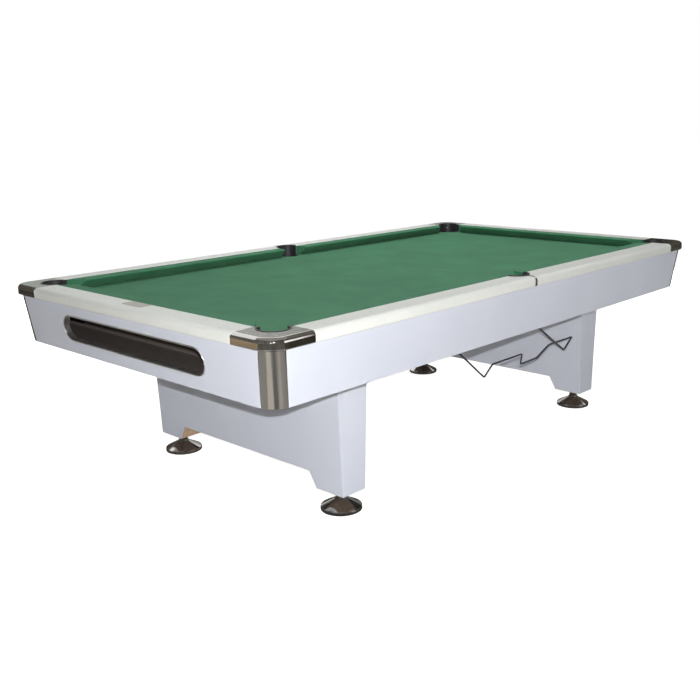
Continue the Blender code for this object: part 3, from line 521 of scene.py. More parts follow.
# Black moulded plastic: a spark-eroded grain that breaks up the shine, greyer where dust lies.
plastic, tree, place = start_finish("black_moulded_plastic")
dust = add_node(tree, "ShaderNodeTexNoise", {"Vector": place, "Scale": per_mm(40), "Detail": 4.0})
tone = add_node(tree, "ShaderNodeMix", {
    0: dust.outputs[0], 6: linear(PLASTIC_DARK), 7: linear(PLASTIC_LIGHT)}, data_type="RGBA")
spark = add_node(tree, "ShaderNodeTexNoise", {"Vector": place, "Scale": per_mm(1.0), "Detail": 2.0})
gloss = add_node(tree, "ShaderNodeMapRange", {
    "Value": dust.outputs[0], "From Min": 0.3, "From Max": 0.7, "To Min": 0.34, "To Max": 0.50})
grain = add_node(tree, "ShaderNodeBump", {"Height": spark.outputs[0], "Strength": 0.15, "Distance": 0.0004})
close_finish(tree, {"Base Color": tone.outputs[2], "Roughness": gloss.outputs[0], "Normal": grain.outputs[0]})

for node, name, finish, slot in (("ball_tray", "return_tray", tray_paint, "dark_painted_steel"),
                                 ("ball_runner_left", "return_runner_left", plastic, "black_plastic"),
                                 ("ball_runner_right", "return_runner_right", plastic, "black_plastic")):
    chute = smooth(skin_of(node, name, SHEET_EDGE), finish)
    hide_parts(node)
    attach(chute, "table")

# Wire holder
# One steel rod, bent cold into hooks and coated dark grey, whose two ends are driven up into the right beam.
# Its back leg passes outside its last hook, so the bends are given along, across and by height.
ROD_RADIUS = 0.004
ROD_ROUNDING = 4
ROD_BEND = 0.010
BEND_STEPS = 7
FRAME_BOTTOM = 0.5812
ROD_SUNK = 0.020
INNER_Y, OUTER_Y = -0.579, -0.597
ROD_CORNERS = ((-0.317, INNER_Y, 0.012), (-0.047, INNER_Y, 0.226), (0.012, INNER_Y, 0.180),
               (0.243, INNER_Y, 0.180), (0.231, INNER_Y, 0.225), (0.364, INNER_Y, 0.223),
               (0.469, INNER_Y, 0.179), (0.676, INNER_Y, 0.180), (0.575, OUTER_Y, 0.223),
               (0.248, OUTER_Y, 0.012))
ROD_LIGHT, ROD_DARK = "4A4C50", "33353A"

# Dark coated rod: a thin grey coat over drawn wire, a little brighter where it is rubbed.
rod_coat, tree, place = start_finish("dark_coated_rod")
rubs = add_node(tree, "ShaderNodeTexNoise", {"Vector": place, "Scale": per_mm(12), "Detail": 5.0})
tone = add_node(tree, "ShaderNodeMix", {
    0: rubs.outputs[0], 6: linear(ROD_DARK), 7: linear(ROD_LIGHT)}, data_type="RGBA")
skin = add_node(tree, "ShaderNodeBump", {"Height": rubs.outputs[0], "Strength": 0.10, "Distance": 0.0003})
close_finish(tree, {"Base Color": tone.outputs[2], "Roughness": 0.42, "Normal": skin.outputs[0]})

corners = [Vector((x, y, FRAME_BOTTOM - drop)) for x, y, drop in ROD_CORNERS]
tops = [Vector((end.x, end.y, FRAME_BOTTOM + ROD_SUNK)) for end in (corners[0], corners[-1])]
corners = [tops[0], *corners, tops[1]]
route = [corners[0]]
for before, corner, after in zip(corners, corners[1:], corners[2:]):
    first = corner + (before - corner).normalized() * ROD_BEND
    last = corner + (after - corner).normalized() * ROD_BEND
    for step in range(BEND_STEPS + 1):
        share = step / BEND_STEPS
        route.append(first.lerp(corner, share).lerp(corner.lerp(last, share), share))
route.append(corners[-1])
line = bpy.data.curves.new("bent_rod", "CURVE")
line.dimensions = "3D"
line.bevel_depth = ROD_RADIUS
line.bevel_resolution = ROD_ROUNDING
line.use_fill_caps = True
spline = line.splines.new("POLY")
spline.points.add(len(route) - 1)
for point, spot in zip(spline.points, route):
    point.co = (*spot, 1)
rod = bpy.data.objects.new("bent_rod", line)
bpy.context.scene.collection.objects.link(rod)
activate(rod)
bpy.ops.object.convert(target="MESH")
rod = bpy.context.object
bpy.ops.object.mode_set(mode="EDIT")
bpy.ops.mesh.select_all(action="SELECT")
bpy.ops.mesh.remove_doubles(threshold=SAME)
face_outwards()
smooth(rod, rod_coat)
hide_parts("wire_holder")
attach(rod, "table")

# Slates
# Three sawn and honed slates, laid side by side on the frame and notched round at the pockets.
# Their edges are left sawn.
SLATE_EDGE = 0.0008
SLATE_LIGHT, SLATE_DARK = "5A5E62", "404347"

# Slate: fine grained and matt, with soft darker beds running through it.
stone, tree, place = start_finish("honed_slate")
beds = add_node(tree, "ShaderNodeMapping", {"Vector": place, "Scale": (per_mm(90), per_mm(60), per_mm(4))})
layers = add_node(tree, "ShaderNodeTexNoise", {"Vector": beds.outputs[0], "Scale": 1.0, "Detail": 7.0})
tone = add_node(tree, "ShaderNodeMix", {
    0: layers.outputs[0], 6: linear(SLATE_DARK), 7: linear(SLATE_LIGHT)}, data_type="RGBA")
sawn = add_node(tree, "ShaderNodeBump", {"Height": layers.outputs[0], "Strength": 0.25, "Distance": 0.0006})
close_finish(tree, {"Base Color": tone.outputs[2], "Roughness": 0.82, "Normal": sawn.outputs[0]})
for part in ("front", "middle", "back"):
    slab = smooth(skin_of(f"slate_{part}", f"slate_slab_{part}", SLATE_EDGE), stone)
    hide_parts(f"slate_{part}")
    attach(slab, "table")

# Bed cloth
# One cut of green worsted cloth, stretched over the slates and glued down inside the pocket notches.
# Its edges lie under the rails.
HALF_LENGTH, HALF_WIDTH = 1.430, 0.795
RAIL_WIDTH = 0.100
CLOTH_TOP = 0.7667
CLOTH_THICKNESS = 0.0005
CLOTH_MARGIN = 0.060
CLOTH_NOTCH = 0.0565
CLOTH_TURN = 0.018
CLOTH_ROLL = 0.0025
CLOTH_STEPS = 4
CORNER_INSET, SIDE_INSET = 0.127, 0.100
SIDES = (("left", 1), ("right", -1))
NOTCH_SPAN = (0.70, 0.80)
NOTCH_REACH = 0.2
BORE_DEPTH = 0.4
BORE_SIDES = 128
CLOTH_LIGHT, CLOTH_DARK, CLOTH_LINT, CLOTH_NAP = "4B8A66", "427A5B", "5F9979", "CFE6D6"
YARN = 2.6


def near(first, second):
    """Whether two measures are the same but for rounding."""
    return abs(first - second) < SAME


def choose(piece, kind, test):
    """Enter edit mode with only those vertices, edges or faces chosen whose corners all pass a test."""
    activate(piece)
    bpy.context.tool_settings.mesh_select_mode = (kind == "VERT", kind == "EDGE", kind == "FACE")
    mesh = piece.data
    passed = [test(vertex.co) for vertex in mesh.vertices]
    for group in (mesh.vertices, mesh.edges, mesh.polygons):
        group.foreach_set("select", [False] * len(group))
    if kind == "VERT":
        mesh.vertices.foreach_set("select", passed)
    else:
        group = mesh.edges if kind == "EDGE" else mesh.polygons
        group.foreach_set("select", [all(passed[index] for index in item.vertices) for item in group])
    bpy.ops.object.mode_set(mode="EDIT")


def block(name, span_x, span_y, span_z):
    """A block between two limits along each axis."""
    bpy.ops.object.select_all(action="DESELECT")
    spans = (span_x, span_y, span_z)
    bpy.ops.mesh.primitive_cube_add(size=1, location=[(low + high) / 2 for low, high in spans],
                                    scale=[abs(high - low) for low, high in spans])
    return placed(name)


def bore(x, y, radius):
    """A tall round cutter."""
    bpy.ops.object.select_all(action="DESELECT")
    bpy.ops.mesh.primitive_cylinder_add(vertices=BORE_SIDES, radius=radius, depth=BORE_DEPTH,
                                        location=(x, y, CLOTH_TOP))
    return placed("bore")


def combine(piece, others, how):
    """Cut other pieces out of one, or grow it by them, and remove the others."""
    for other in others:
        activate(piece)
        step = piece.modifiers.new("step", "BOOLEAN")
        step.operation = how
        step.solver = "EXACT"
        step.object = other
        bpy.ops.object.modifier_apply(modifier=step.name)
        bpy.data.objects.remove(other)


def take_away(piece, *cutters):
    """Cut pieces out of another."""
    combine(piece, cutters, "DIFFERENCE")


def round_off(piece, test, radius, steps):
    """Round the edges of a piece that pass a test."""
    choose(piece, "EDGE", test)
    bpy.ops.mesh.bevel(offset=radius, segments=steps, profile=0.5, affect="EDGES", clamp_overlap=False)
    bpy.ops.object.mode_set(mode="OBJECT")


# Worsted billiard cloth: a smooth, tight weave, drawn coarse enough to show, with a short nap.
# It is mottled by brushing and chalk, and the nap lightens it at a low angle. A wave texture repeats
# ten times in pi units, which gives the yarns their spacing.
green_cloth, tree, place = start_finish("worsted_billiard_cloth")
yarns = per_mm(YARN) * math.pi / 10
warp, weft = (add_node(tree, "ShaderNodeTexWave", {"Vector": place, "Scale": yarns, "Distortion": 0.8,
                                                   "Detail": 2.0}, bands_direction=axis) for axis in "XY")
weave = add_node(tree, "ShaderNodeMath", {
    0: warp.outputs["Fac"], 1: weft.outputs["Fac"]}, operation="MULTIPLY")
patches = add_node(tree, "ShaderNodeTexNoise", {
    "Vector": place, "Scale": per_mm(170), "Detail": 6.0, "Roughness": 0.62})
spread = add_node(tree, "ShaderNodeMapRange", {
    "Value": patches.outputs[0], "From Min": 0.30, "From Max": 0.70})
mottle = add_node(tree, "ShaderNodeMix", {
    0: spread.outputs[0], 6: linear(CLOTH_DARK), 7: linear(CLOTH_LIGHT)}, data_type="RGBA")
flecks = add_node(tree, "ShaderNodeTexNoise", {"Vector": place, "Scale": per_mm(4), "Detail": 3.0})
lint = add_node(tree, "ShaderNodeMapRange", {
    "Value": flecks.outputs[0], "From Min": 0.52, "From Max": 0.80, "To Min": 0.0, "To Max": 0.45})
tone = add_node(tree, "ShaderNodeMix", {
    0: lint.outputs[0], 6: mottle.outputs[2], 7: linear(CLOTH_LINT)}, data_type="RGBA")
relief = add_node(tree, "ShaderNodeBump", {"Height": weave.outputs[0], "Strength": 0.22, "Distance": 0.0005})
close_finish(tree, {
    "Base Color": tone.outputs[2], "Roughness": 0.92, "Specular IOR Level": 0.25, "Sheen Weight": 0.06,
    "Sheen Roughness": 0.5, "Sheen Tint": linear(CLOTH_NAP), "Normal": relief.outputs[0]})

reach_x, reach_y = HALF_LENGTH - CLOTH_MARGIN, HALF_WIDTH - CLOTH_MARGIN
cloth_low = CLOTH_TOP - CLOTH_TURN
cloth = block("green_bed_cloth", (-reach_x, reach_x), (-reach_y, reach_y), (cloth_low, CLOTH_TOP))
pocket_x, pocket_y = HALF_LENGTH - CORNER_INSET, HALF_WIDTH - CORNER_INSET
side_y = HALF_WIDTH - SIDE_INSET
for _, along, across in CORNERS:
    x, y = along * pocket_x, across * pocket_y
    half_x, half_y = x - along * CLOTH_NOTCH / 2, y - across * CLOTH_NOTCH / 2
    far_x, far_y = x + along * NOTCH_REACH, y + across * NOTCH_REACH
    take_away(cloth, bore(x, y, CLOTH_NOTCH), block("notch", (half_x, far_x), (y, far_y), NOTCH_SPAN),
              block("notch", (x, far_x), (half_y, far_y), NOTCH_SPAN))
for _, across in SIDES:
    y = across * side_y
    take_away(cloth, bore(0, y, CLOTH_NOTCH),
              block("notch", (-CLOTH_NOTCH, CLOTH_NOTCH), (y, y + across * NOTCH_REACH), NOTCH_SPAN))
at_ends, at_sides = lambda co: near(abs(co.x), reach_x), lambda co: near(abs(co.y), reach_y)
for test in (lambda co: near(co.z, cloth_low), at_ends, at_sides):
    choose(cloth, "FACE", test)
    bpy.ops.mesh.delete(type="FACE")
bpy.ops.object.mode_set(mode="OBJECT")
round_off(cloth, lambda co: near(co.z, CLOTH_TOP) and not at_ends(co) and not at_sides(co), CLOTH_ROLL,
          CLOTH_STEPS)
activate(cloth)
thicken = cloth.modifiers.new("cloth", "SOLIDIFY")
thicken.thickness = CLOTH_THICKNESS
thicken.offset = -1
bpy.ops.object.modifier_apply(modifier=thicken.name)
smooth(cloth, green_cloth)
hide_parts("bed_cloth")
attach(cloth, "table")

# Pocket liners
# Moulded black liners, open towards the bed, with a thin rim on the castings and a thick one on the rails.
# Corner liners end in ears beside the cushions, and a screw holds each in the middle of its back wall.
LINER_INSIDE, LINER_OUTSIDE, LINER_RIM = 0.0515, 0.0560, 0.0575
LINER_LOW, RIM_LOW = 0.7355, 0.8083
CORNER_RIM, SIDE_RIM = 0.0012, 0.0050
RIM_INNER, RIM_OUTER = 0.0026, 0.0018
RIM_STEPS = 5
RIM_LEAD = 0.002
CUT_SPAN = (0.70, 0.90)
CUT_REACH = 0.3
LINER_EDGE = 0.0004
LINER_SIDES = 112
SCREW_RADIUS = 0.0042
SCREW_HEIGHT = 0.0010
SCREW_SHAPE = ((1, 0), (1, 0.35), (0.86, 0.78), (0.55, 1), (0.42, 1), (0.34, 0.45))
SCREW_SIDES = 24
SCREW_Z = 0.782
EAR_START, EAR_LAP, EAR_DEEP = 0.0001, 0.0002, 0.012
EAR_LIFT, EAR_TOP = 0.0005, 0.8087
EAR_EDGE = 0.0016
CASTING_ARM = 0.187
ZINC_LIGHT, ZINC_DARK = "E2E3E6", "B9BBC0"


def add_on(piece, *others):
    """Grow a piece by others."""
    combine(piece, others, "UNION")


# Zinc-plated screw: bright, slightly bluish metal, a little rough from the plating bath.
zinc, tree, place = start_finish("zinc_plated_steel")
bloom = add_node(tree, "ShaderNodeTexNoise", {"Vector": place, "Scale": per_mm(2), "Detail": 3.0})
tone = add_node(tree, "ShaderNodeMix", {
    0: bloom.outputs[0], 6: linear(ZINC_DARK), 7: linear(ZINC_LIGHT)}, data_type="RGBA")
close_finish(tree, {"Base Color": tone.outputs[2], "Metallic": 1.0, "Roughness": 0.26})


def liner_ring(name, rim):
    """Model a liner all round, with a rim of a given thickness that is rounded inside and outside.
    Its section is drawn round as an open wall and closed at the bottom."""
    top, inner, outer = RIM_LOW + rim, min(RIM_INNER, rim * 0.9), min(RIM_OUTER, rim * 0.7)
    turns = [math.pi / 2 * step / RIM_STEPS for step in range(RIM_STEPS + 1)]
    section = [(LINER_INSIDE, LINER_LOW), (LINER_INSIDE, RIM_LOW - RIM_LEAD)]
    section += [(LINER_INSIDE + inner * (1 - math.cos(turn)), top - inner * (1 - math.sin(turn)))
                for turn in turns]
    section += [(LINER_RIM - outer * (1 - math.sin(turn)), top - outer * (1 - math.cos(turn)))
                for turn in turns]
    section += [(LINER_RIM, RIM_LOW), (LINER_OUTSIDE, RIM_LOW), (LINER_OUTSIDE, LINER_LOW)]
    ring = turned(name, section, LINER_SIDES, "NOTHING")
    choose(ring, "EDGE", lambda co: near(co.z, LINER_LOW))
    bpy.ops.mesh.bridge_edge_loops()
    face_outwards()
    return ring


screw_rings = [(SCREW_RADIUS * wide, SCREW_HEIGHT * tall) for wide, tall in SCREW_SHAPE]
screw = turned("screw", screw_rings, SCREW_SIDES)
corner_ring = liner_ring("corner_ring", CORNER_RIM)
side_ring = liner_ring("side_ring", SIDE_RIM)
corner_liner = copied(corner_ring, "corner_liner", Matrix.Translation((pocket_x, pocket_y, 0)))
inner_x, inner_y = HALF_LENGTH - RAIL_WIDTH, HALF_WIDTH - RAIL_WIDTH
take_away(corner_liner, block("mouth", (inner_x - CUT_REACH, inner_x), (inner_y - CUT_REACH, inner_y),
                              CUT_SPAN))
ear_x, ear_y = HALF_LENGTH - CASTING_ARM + EAR_START, inner_y + EAR_LAP
ear_end = pocket_x - math.sqrt(LINER_INSIDE ** 2 - (CORNER_INSET - RAIL_WIDTH) ** 2)
ear = block("ear", (ear_x, ear_end), (ear_y - EAR_DEEP, ear_y), (CLOTH_TOP + EAR_LIFT, EAR_TOP))
ease(ear, EAR_EDGE)
swap = Matrix(((0, 1, 0, HALF_LENGTH - HALF_WIDTH), (1, 0, 0, HALF_WIDTH - HALF_LENGTH),
               (0, 0, 1, 0), (0, 0, 0, 1)))
add_on(corner_liner, copied(ear, "other_ear", swap), ear)
side_liner = copied(side_ring, "side_liner", Matrix.Translation((0, side_y, 0)))
take_away(side_liner, block("mouth", (-CUT_REACH, CUT_REACH), (side_y - CUT_REACH, side_y), CUT_SPAN))
liners = []
for corner, along, across in CORNERS:
    flip = Matrix.Diagonal((along, across, 1, 1))
    back = Vector((along, across, 0)).normalized()
    middle = Vector((along * pocket_x, across * pocket_y, SCREW_Z)) + back * LINER_INSIDE
    liners.append((corner, copied(corner_liner, f"pocket_cup_{corner}", flip), middle, back))
for side, across in SIDES:
    flip = Matrix.Diagonal((1, across, 1, 1))
    back = Vector((0, across, 0))
    middle = Vector((0, across * side_y, SCREW_Z)) + back * LINER_INSIDE
    liners.append((f"side_{side}", copied(side_liner, f"pocket_cup_side_{side}", flip), middle, back))
for name, cup, middle, back in liners:
    ease(cup, LINER_EDGE)
    smooth(cup, plastic)
    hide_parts(f"pocket_liner_{name}")
    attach(cup, "table")
    seat = Matrix.Translation(middle) @ (-back).to_track_quat("Z", "Y").to_matrix().to_4x4()
    head = smooth(copied(screw, f"liner_screw_{name}", seat), zinc)
    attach(head, "table")
for pattern in (corner_ring, side_ring, screw, corner_liner, side_liner):
    bpy.data.objects.remove(pattern)

# Cushions
# Strips of triangular rubber glued to the rails and wrapped tightly in the bed's cloth.
# The nose overhangs the bed, and each end is cut back at a slant to the pocket.
CUSHION_LOW, CUSHION_TOP = 0.7670, 0.8080
CUSHION_BACK = 0.1003
CUSHION_DEPTH = 0.060
CUSHION_FOOT = 0.118
NOSE_SHARP = 0.1678
NOSE_SET = 0.0137
NOSE_STEPS = 8
CUSHION_EDGE = 0.0012
LONG_CUSHION = ((0.0563, 0.0730), (1.2427, 1.1802))
END_CUSHION = ((-0.6077, -0.5452), (0.6077, 0.5452))
HALVES = (("front", -1), ("back", 1))


def move(piece, test, offset):
    """Move the vertices of a piece that pass a test."""
    choose(piece, "VERT", test)
    bpy.ops.transform.translate(value=offset)
    bpy.ops.object.mode_set(mode="OBJECT")


def cushion(name, start, stop):
    """Model a cushion of the left side, lying along X. start and stop each give where an end lies at the
    rail and at the nose line."""
    back, nose = HALF_WIDTH - CUSHION_BACK, HALF_WIDTH - NOSE_SHARP
    piece = block(name, (start[0], stop[0]), (nose, back), (CUSHION_LOW, CUSHION_TOP))
    for at_rail, at_nose in (start, stop):
        slant = (at_nose - at_rail) / CUSHION_DEPTH
        for low, inset in ((False, NOSE_SHARP), (True, CUSHION_FOOT)):
            offset = (slant * (inset - RAIL_WIDTH), HALF_WIDTH - inset - nose, 0)
            move(piece, lambda co: near(co.x, at_rail) and near(co.y, nose)
                 and near(co.z, CUSHION_LOW) == low, offset)
    round_off(piece, lambda co: near(co.y, nose) and near(co.z, CUSHION_TOP), NOSE_SET, NOSE_STEPS)
    return piece


def six_places(long_piece, end_piece):
    """Name, pattern and matrix of the two pieces along each side of the table and the one at each end."""
    to_end = Matrix.Translation((HALF_LENGTH - HALF_WIDTH, 0, 0)) @ Matrix.Rotation(-math.pi / 2, 4, "Z")
    places = [(f"{side}_{half}", long_piece, Matrix.Diagonal((along, across, 1, 1)))
              for side, across in SIDES for half, along in HALVES]
    return places + [(half, end_piece, Matrix.Diagonal((along, 1, 1, 1)) @ to_end) for half, along in HALVES]


long_cushion = cushion("long_cushion", *LONG_CUSHION)
end_cushion = cushion("end_cushion", *END_CUSHION)
for name, pattern, matrix in six_places(long_cushion, end_cushion):
    strip = copied(pattern, f"rubber_cushion_{name}", matrix)
    ease(strip, CUSHION_EDGE)
    smooth(strip, green_cloth)
    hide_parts(f"cushion_{name}")
    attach(strip, "table")
for pattern in (long_cushion, end_cushion):
    bpy.data.objects.remove(pattern)

# Rails
# Hardwood rails faced with cream-white laminate that is formed round the outer edge.
# Two lie at the ends and two on each long side, bolted down through the slates.
RAIL_LOW, RAIL_TOP = 0.7670, 0.8080
TOP_ROUND, LOW_ROUND = 0.017, 0.006
TOP_STEPS, LOW_STEPS = 12, 6
RAIL_EDGE = 0.0008
LONG_RAIL = (0.0073, 1.2427)
END_RAIL = 0.6077
BORE_RADIUS = 0.0563
RAIL_LIGHT, RAIL_DARK = "F3F5F0", "E9ECE6"


def rail_bar(name, start, stop, proud=0.0):
    """Model a length of rail of the left side, with its two outer edges rounded."""
    face, top = HALF_WIDTH + proud, RAIL_TOP + proud
    piece = block(name, (start, stop), (inner_y, face), (RAIL_LOW, top))
    round_off(piece, lambda co: near(co.y, face) and near(co.z, top), TOP_ROUND + proud, TOP_STEPS)
    round_off(piece, lambda co: near(co.y, face) and near(co.z, RAIL_LOW), LOW_ROUND + proud, LOW_STEPS)
    return piece


# Formed laminate: cream white and smooth, with a satin gloss, faint clouding and fine scuffs from hands.
rail_white, tree, place = start_finish("formed_cream_laminate")
clouds = add_node(tree, "ShaderNodeTexNoise", {"Vector": place, "Scale": per_mm(120), "Detail": 4.0})
tone = add_node(tree, "ShaderNodeMix", {
    0: clouds.outputs[0], 6: linear(RAIL_DARK), 7: linear(RAIL_LIGHT)}, data_type="RGBA")
scuffs = add_node(tree, "ShaderNodeTexNoise", {"Vector": place, "Scale": per_mm(9), "Detail": 5.0})
gloss = add_node(tree, "ShaderNodeMapRange", {
    "Value": scuffs.outputs[0], "From Min": 0.3, "From Max": 0.7, "To Min": 0.26, "To Max": 0.40})
pebble = add_node(tree, "ShaderNodeTexNoise", {"Vector": place, "Scale": per_mm(1.8), "Detail": 2.0})
grain = add_node(tree, "ShaderNodeBump", {"Height": pebble.outputs[0], "Strength": 0.05, "Distance": 0.0004})
close_finish(tree, {
    "Base Color": tone.outputs[2], "Roughness": gloss.outputs[0], "IOR": 1.5, "Normal": grain.outputs[0]})

long_rail = rail_bar("long_rail", *LONG_RAIL)
take_away(long_rail, bore(0, side_y, BORE_RADIUS))
end_rail = rail_bar("end_rail", -END_RAIL, END_RAIL)
for name, pattern, matrix in six_places(long_rail, end_rail):
    bar = copied(pattern, f"white_rail_{name}", matrix)
    ease(bar, RAIL_EDGE)
    smooth(bar, rail_white)
    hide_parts(f"rail_{name}")
    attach(bar, "table")
for pattern in (long_rail, end_rail):
    bpy.data.objects.remove(pattern)

# Rail sights
# Small round pearl buttons let into the rails at eighths of the playing field, to aim by.
# They lie flush, with only their eased face standing over the laminate.
SIGHT_RADIUS = 0.0055
SIGHT_RISE = 0.0004
SIGHT_SHAPE = ((1, 0), (1, 0.5), (0.94, 1), (0.5, 1.1))
SIGHT_SIDES = 32
SIGHT_STEP = 0.3175
SIGHT_X, SIGHT_Y = 1.3637, 0.7287
PEARL_LIGHT, PEARL_DARK = "FBF9F2", "E9E6EC"

# Pearl: white with a soft shine, and clouded bands under the polish.
pearl, tree, place = start_finish("polished_pearl")
bands = add_node(tree, "ShaderNodeTexNoise", {
    "Vector": place, "Scale": per_mm(4), "Detail": 3.0, "Distortion": 1.5})
tone = add_node(tree, "ShaderNodeMix", {
    0: bands.outputs[0], 6: linear(PEARL_DARK), 7: linear(PEARL_LIGHT)}, data_type="RGBA")
close_finish(tree, {"Base Color": tone.outputs[2], "Roughness": 0.34})

sight_rings = [(SIGHT_RADIUS * wide, RAIL_TOP + SIGHT_RISE * tall) for wide, tall in SIGHT_SHAPE]
sight_pattern = turned("sight_pattern", sight_rings, SIGHT_SIDES)
spots = [(along * step * SIGHT_STEP, across * SIGHT_Y)
         for _, across in SIDES for _, along in HALVES for step in (1, 2, 3)]
spots += [(along * SIGHT_X, step * SIGHT_STEP)
          for half, along in HALVES for step in (-1, 0, 1) if (half, step) != ("front", 0)]
for number, (x, y) in enumerate(spots):
    button = copied(sight_pattern, f"rail_sight_{number + 1:02d}", Matrix.Translation((x, y, 0)))
    smooth(button, pearl)
    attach(button, "table")
bpy.data.objects.remove(sight_pattern)

# Plate
# A thin bare plate of brushed steel on the front rail, glued down, its face sunk a little inside a border.
# It takes the place of the middle sight.
PLATE_X = -1.360
PLATE_LONG, PLATE_WIDE = 0.115, 0.048
PLATE_LOW, PLATE_HIGH = 0.8083, 0.8095
PLATE_CORNER = 0.006
PLATE_STEPS = 8
PLATE_BORDER, PLATE_BANK, PLATE_SUNK = 0.0022, 0.00088, 0.0003

across_grain = (per_mm(1.2), per_mm(60), per_mm(1.2))
across_steel = brushed_steel("stainless_steel_brushed_across", across_grain, 0.40, 0.55)
plate_x, plate_y = (PLATE_X - PLATE_WIDE / 2, PLATE_X + PLATE_WIDE / 2), (-PLATE_LONG / 2, PLATE_LONG / 2)
plate = block("bare_plate", plate_x, plate_y, (PLATE_LOW, PLATE_HIGH))
for x in plate_x:
    for y in plate_y:
        round_off(plate, lambda co: near(co.x, x) and near(co.y, y), PLATE_CORNER, PLATE_STEPS)
choose(plate, "FACE", lambda co: near(co.z, PLATE_HIGH))
bpy.ops.mesh.inset(thickness=PLATE_BORDER)
bpy.ops.mesh.inset(thickness=PLATE_BANK, depth=-PLATE_SUNK)
bpy.ops.object.mode_set(mode="OBJECT")
smooth(plate, across_steel)
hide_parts("name_plate")
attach(plate, "table")

# Corner castings
# L-shaped castings of zinc alloy, polished and chrome plated, that join two rails at each corner.
# They carry the rails' rounded edges round the corner and are bored for the pocket liner.
CORNER_ROUND = 0.075
CORNER_STEPS = 40


def on_outside(co):
    """Whether a point lies on the outer outline of the casting."""
    u, v = HALF_LENGTH - co.x, HALF_WIDTH - co.y
    return near(u, 0) or near(v, 0) or near(math.hypot(u - CORNER_ROUND, v - CORNER_ROUND), CORNER_ROUND)


casting = block("casting", (HALF_LENGTH - CASTING_ARM, HALF_LENGTH), (HALF_WIDTH - CASTING_ARM, HALF_WIDTH),
                (RAIL_LOW, RAIL_TOP))
round_off(casting, lambda co: near(co.x, HALF_LENGTH) and near(co.y, HALF_WIDTH), CORNER_ROUND, CORNER_STEPS)
round_off(casting, lambda co: near(co.z, RAIL_TOP) and on_outside(co), TOP_ROUND, TOP_STEPS)
round_off(casting, lambda co: near(co.z, RAIL_LOW) and on_outside(co), LOW_ROUND, LOW_STEPS)
take_away(casting, block("inside", (inner_x - CUT_REACH, inner_x), (inner_y - CUT_REACH, inner_y), CUT_SPAN),
          bore(pocket_x, pocket_y, BORE_RADIUS))
ease(casting, RAIL_EDGE)
for corner, along, across in CORNERS:
    elbow = smooth(copied(casting, f"chrome_corner_{corner}", Matrix.Diagonal((along, across, 1, 1))), chrome)
    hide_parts(f"corner_casting_{corner}")
    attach(elbow, "table")
bpy.data.objects.remove(casting)

# Side dividers
# Short chrome-plated straps, a little proud of the rails, that cover the joint outside each side pocket.
# They are cast to the rail's section and screwed from below.
DIVIDER_HALF = 0.007
DIVIDER_PROUD = 0.002
DIVIDER_BORE = 0.0578
DIVIDER_EDGE = 0.0010
strap = rail_bar("strap", -DIVIDER_HALF, DIVIDER_HALF, DIVIDER_PROUD)
take_away(strap, bore(0, side_y, DIVIDER_BORE))
ease(strap, DIVIDER_EDGE)
for side, across in SIDES:
    cover = smooth(copied(strap, f"chrome_divider_{side}", Matrix.Diagonal((1, across, 1, 1))), chrome)
    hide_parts(f"side_divider_{side}")
    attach(cover, "table")
bpy.data.objects.remove(strap)

# Aprons
# Four board panels faced with white laminate that lean in below the rails and hide the frame.
# The front one is cut for the ball slot.
for side in ("front", "back", "left", "right"):
    skirt = smooth(skin_of(f"apron_{side}", f"apron_board_{side}", PANEL_EDGE), panel)
    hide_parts(f"apron_{side}")
    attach(skirt, "table")

# Slot rim
# A chrome-plated band pressed to a long round-ended loop and pushed into the slot in the front apron.
# Its front edge stands a little proud and is rolled over, and it is left satin.
SLOT_LONG, SLOT_HIGH = 0.874, 0.095
BAND_WALL = 0.005
BAND_PROUD = 0.002
BAND_DEPTH = 0.0219
BAND_ROLL = 0.0022
BAND_FLAT = 0.00005
BAND_STEPS, ROLL_STEPS = 24, 6
SATIN = "E6E5E2"
SLOT_Z = 0.6733
APRON_TOP, APRON_TALL = 0.7667, 0.194
APRON_SETBACK, APRON_LEAN = 0.0137, 0.022
lean = math.atan2(APRON_LEAN, APRON_TALL)
face_x = APRON_SETBACK + APRON_LEAN * (APRON_TOP - SLOT_Z) / APRON_TALL - HALF_LENGTH
bpy.ops.object.select_all(action="DESELECT")
bpy.ops.mesh.primitive_plane_add(size=1)
band_high = SLOT_HIGH + 2 * BAND_WALL
bpy.context.object.scale = (SLOT_LONG + 2 * BAND_WALL, band_high, 1)
band = placed("slot_band")
bpy.ops.object.mode_set(mode="EDIT")
bpy.ops.mesh.select_all(action="SELECT")
bpy.ops.mesh.bevel(offset=band_high / 2 - BAND_FLAT, segments=BAND_STEPS, affect="VERTICES")
bpy.ops.mesh.select_all(action="SELECT")
bpy.ops.mesh.inset(thickness=BAND_WALL)
bpy.ops.mesh.delete(type="ONLY_FACE")
bpy.ops.mesh.select_all(action="SELECT")
bpy.ops.mesh.extrude_region_move(TRANSFORM_OT_translate={"value": (0, 0, BAND_DEPTH + BAND_PROUD)})
face_outwards()
round_off(band, lambda co: near(co.z, BAND_DEPTH + BAND_PROUD), BAND_ROLL, ROLL_STEPS)
band.data.transform(Matrix.Translation((face_x, 0, SLOT_Z)) @ Matrix.Rotation(-math.pi / 2 - lean, 4, "Y")
                    @ Matrix.Rotation(-math.pi / 2, 4, "Z") @ Matrix.Translation((0, 0, -BAND_DEPTH)))

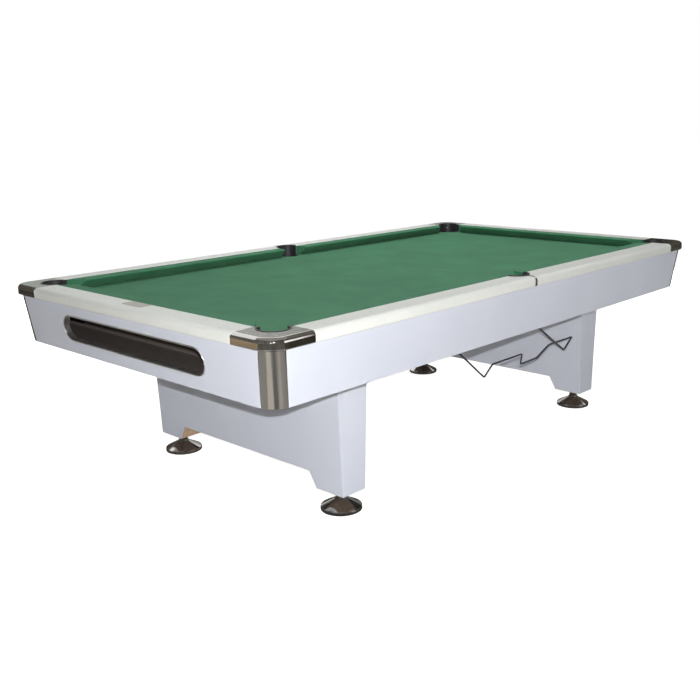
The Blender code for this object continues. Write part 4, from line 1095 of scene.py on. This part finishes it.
# Satin chrome plate: blasted before plating, so it shines pale and soft, with a fine sparkle.
satin, tree, place = start_finish("satin_chrome_plate")
blast = add_node(tree, "ShaderNodeTexNoise", {"Vector": place, "Scale": per_mm(1.5), "Detail": 2.0})
gloss = add_node(tree, "ShaderNodeMapRange", {
    "Value": blast.outputs[0], "From Min": 0.3, "From Max": 0.7, "To Min": 0.30, "To Max": 0.44})
relief = add_node(tree, "ShaderNodeBump", {"Height": blast.outputs[0], "Strength": 0.35, "Distance": 0.0005})
close_finish(tree, {
    "Base Color": linear(SATIN), "Metallic": 1.0, "Roughness": gloss.outputs[0], "Normal": relief.outputs[0]})
smooth(band, satin)
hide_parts("slot_bezel")
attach(band, "table")

# Corner posts
# Quarter-round posts rolled from stainless steel sheet and brushed, which close the corners between aprons.
# They lean in with the aprons.
POST_RADIUS = 0.062
POST_WALL = 0.012
POST_LOW = 0.5727
POST_STEPS = 32
POST_EDGE = 0.0010
post_x, post_y = HALF_LENGTH - APRON_SETBACK - POST_RADIUS, HALF_WIDTH - APRON_SETBACK - POST_RADIUS
bpy.ops.object.select_all(action="DESELECT")
wall = (post_x + POST_RADIUS - POST_WALL / 2, post_y, (POST_LOW + APRON_TOP) / 2)
bpy.ops.mesh.primitive_plane_add(size=1, rotation=ALONG_X, location=wall)
bpy.context.object.scale = (POST_WALL, APRON_TOP - POST_LOW, 1)
post = placed("post")
bpy.ops.object.mode_set(mode="EDIT")
bpy.ops.mesh.select_all(action="SELECT")
bpy.ops.mesh.spin(steps=POST_STEPS, angle=-math.pi / 2, center=(post_x, post_y, 0), axis=(0, 0, 1))
bpy.ops.mesh.select_all(action="SELECT")
bpy.ops.mesh.remove_doubles(threshold=SAME)
face_outwards()
move(post, lambda co: near(co.z, POST_LOW), (-APRON_LEAN, -APRON_LEAN, 0))
ease(post, POST_EDGE)
for corner, along, across in CORNERS:
    column = copied(post, f"steel_post_{corner}", Matrix.Diagonal((along, across, 1, 1)))
    smooth(column, upright_steel)
    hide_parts(f"corner_post_{corner}")
    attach(column, "table")
bpy.data.objects.remove(post)
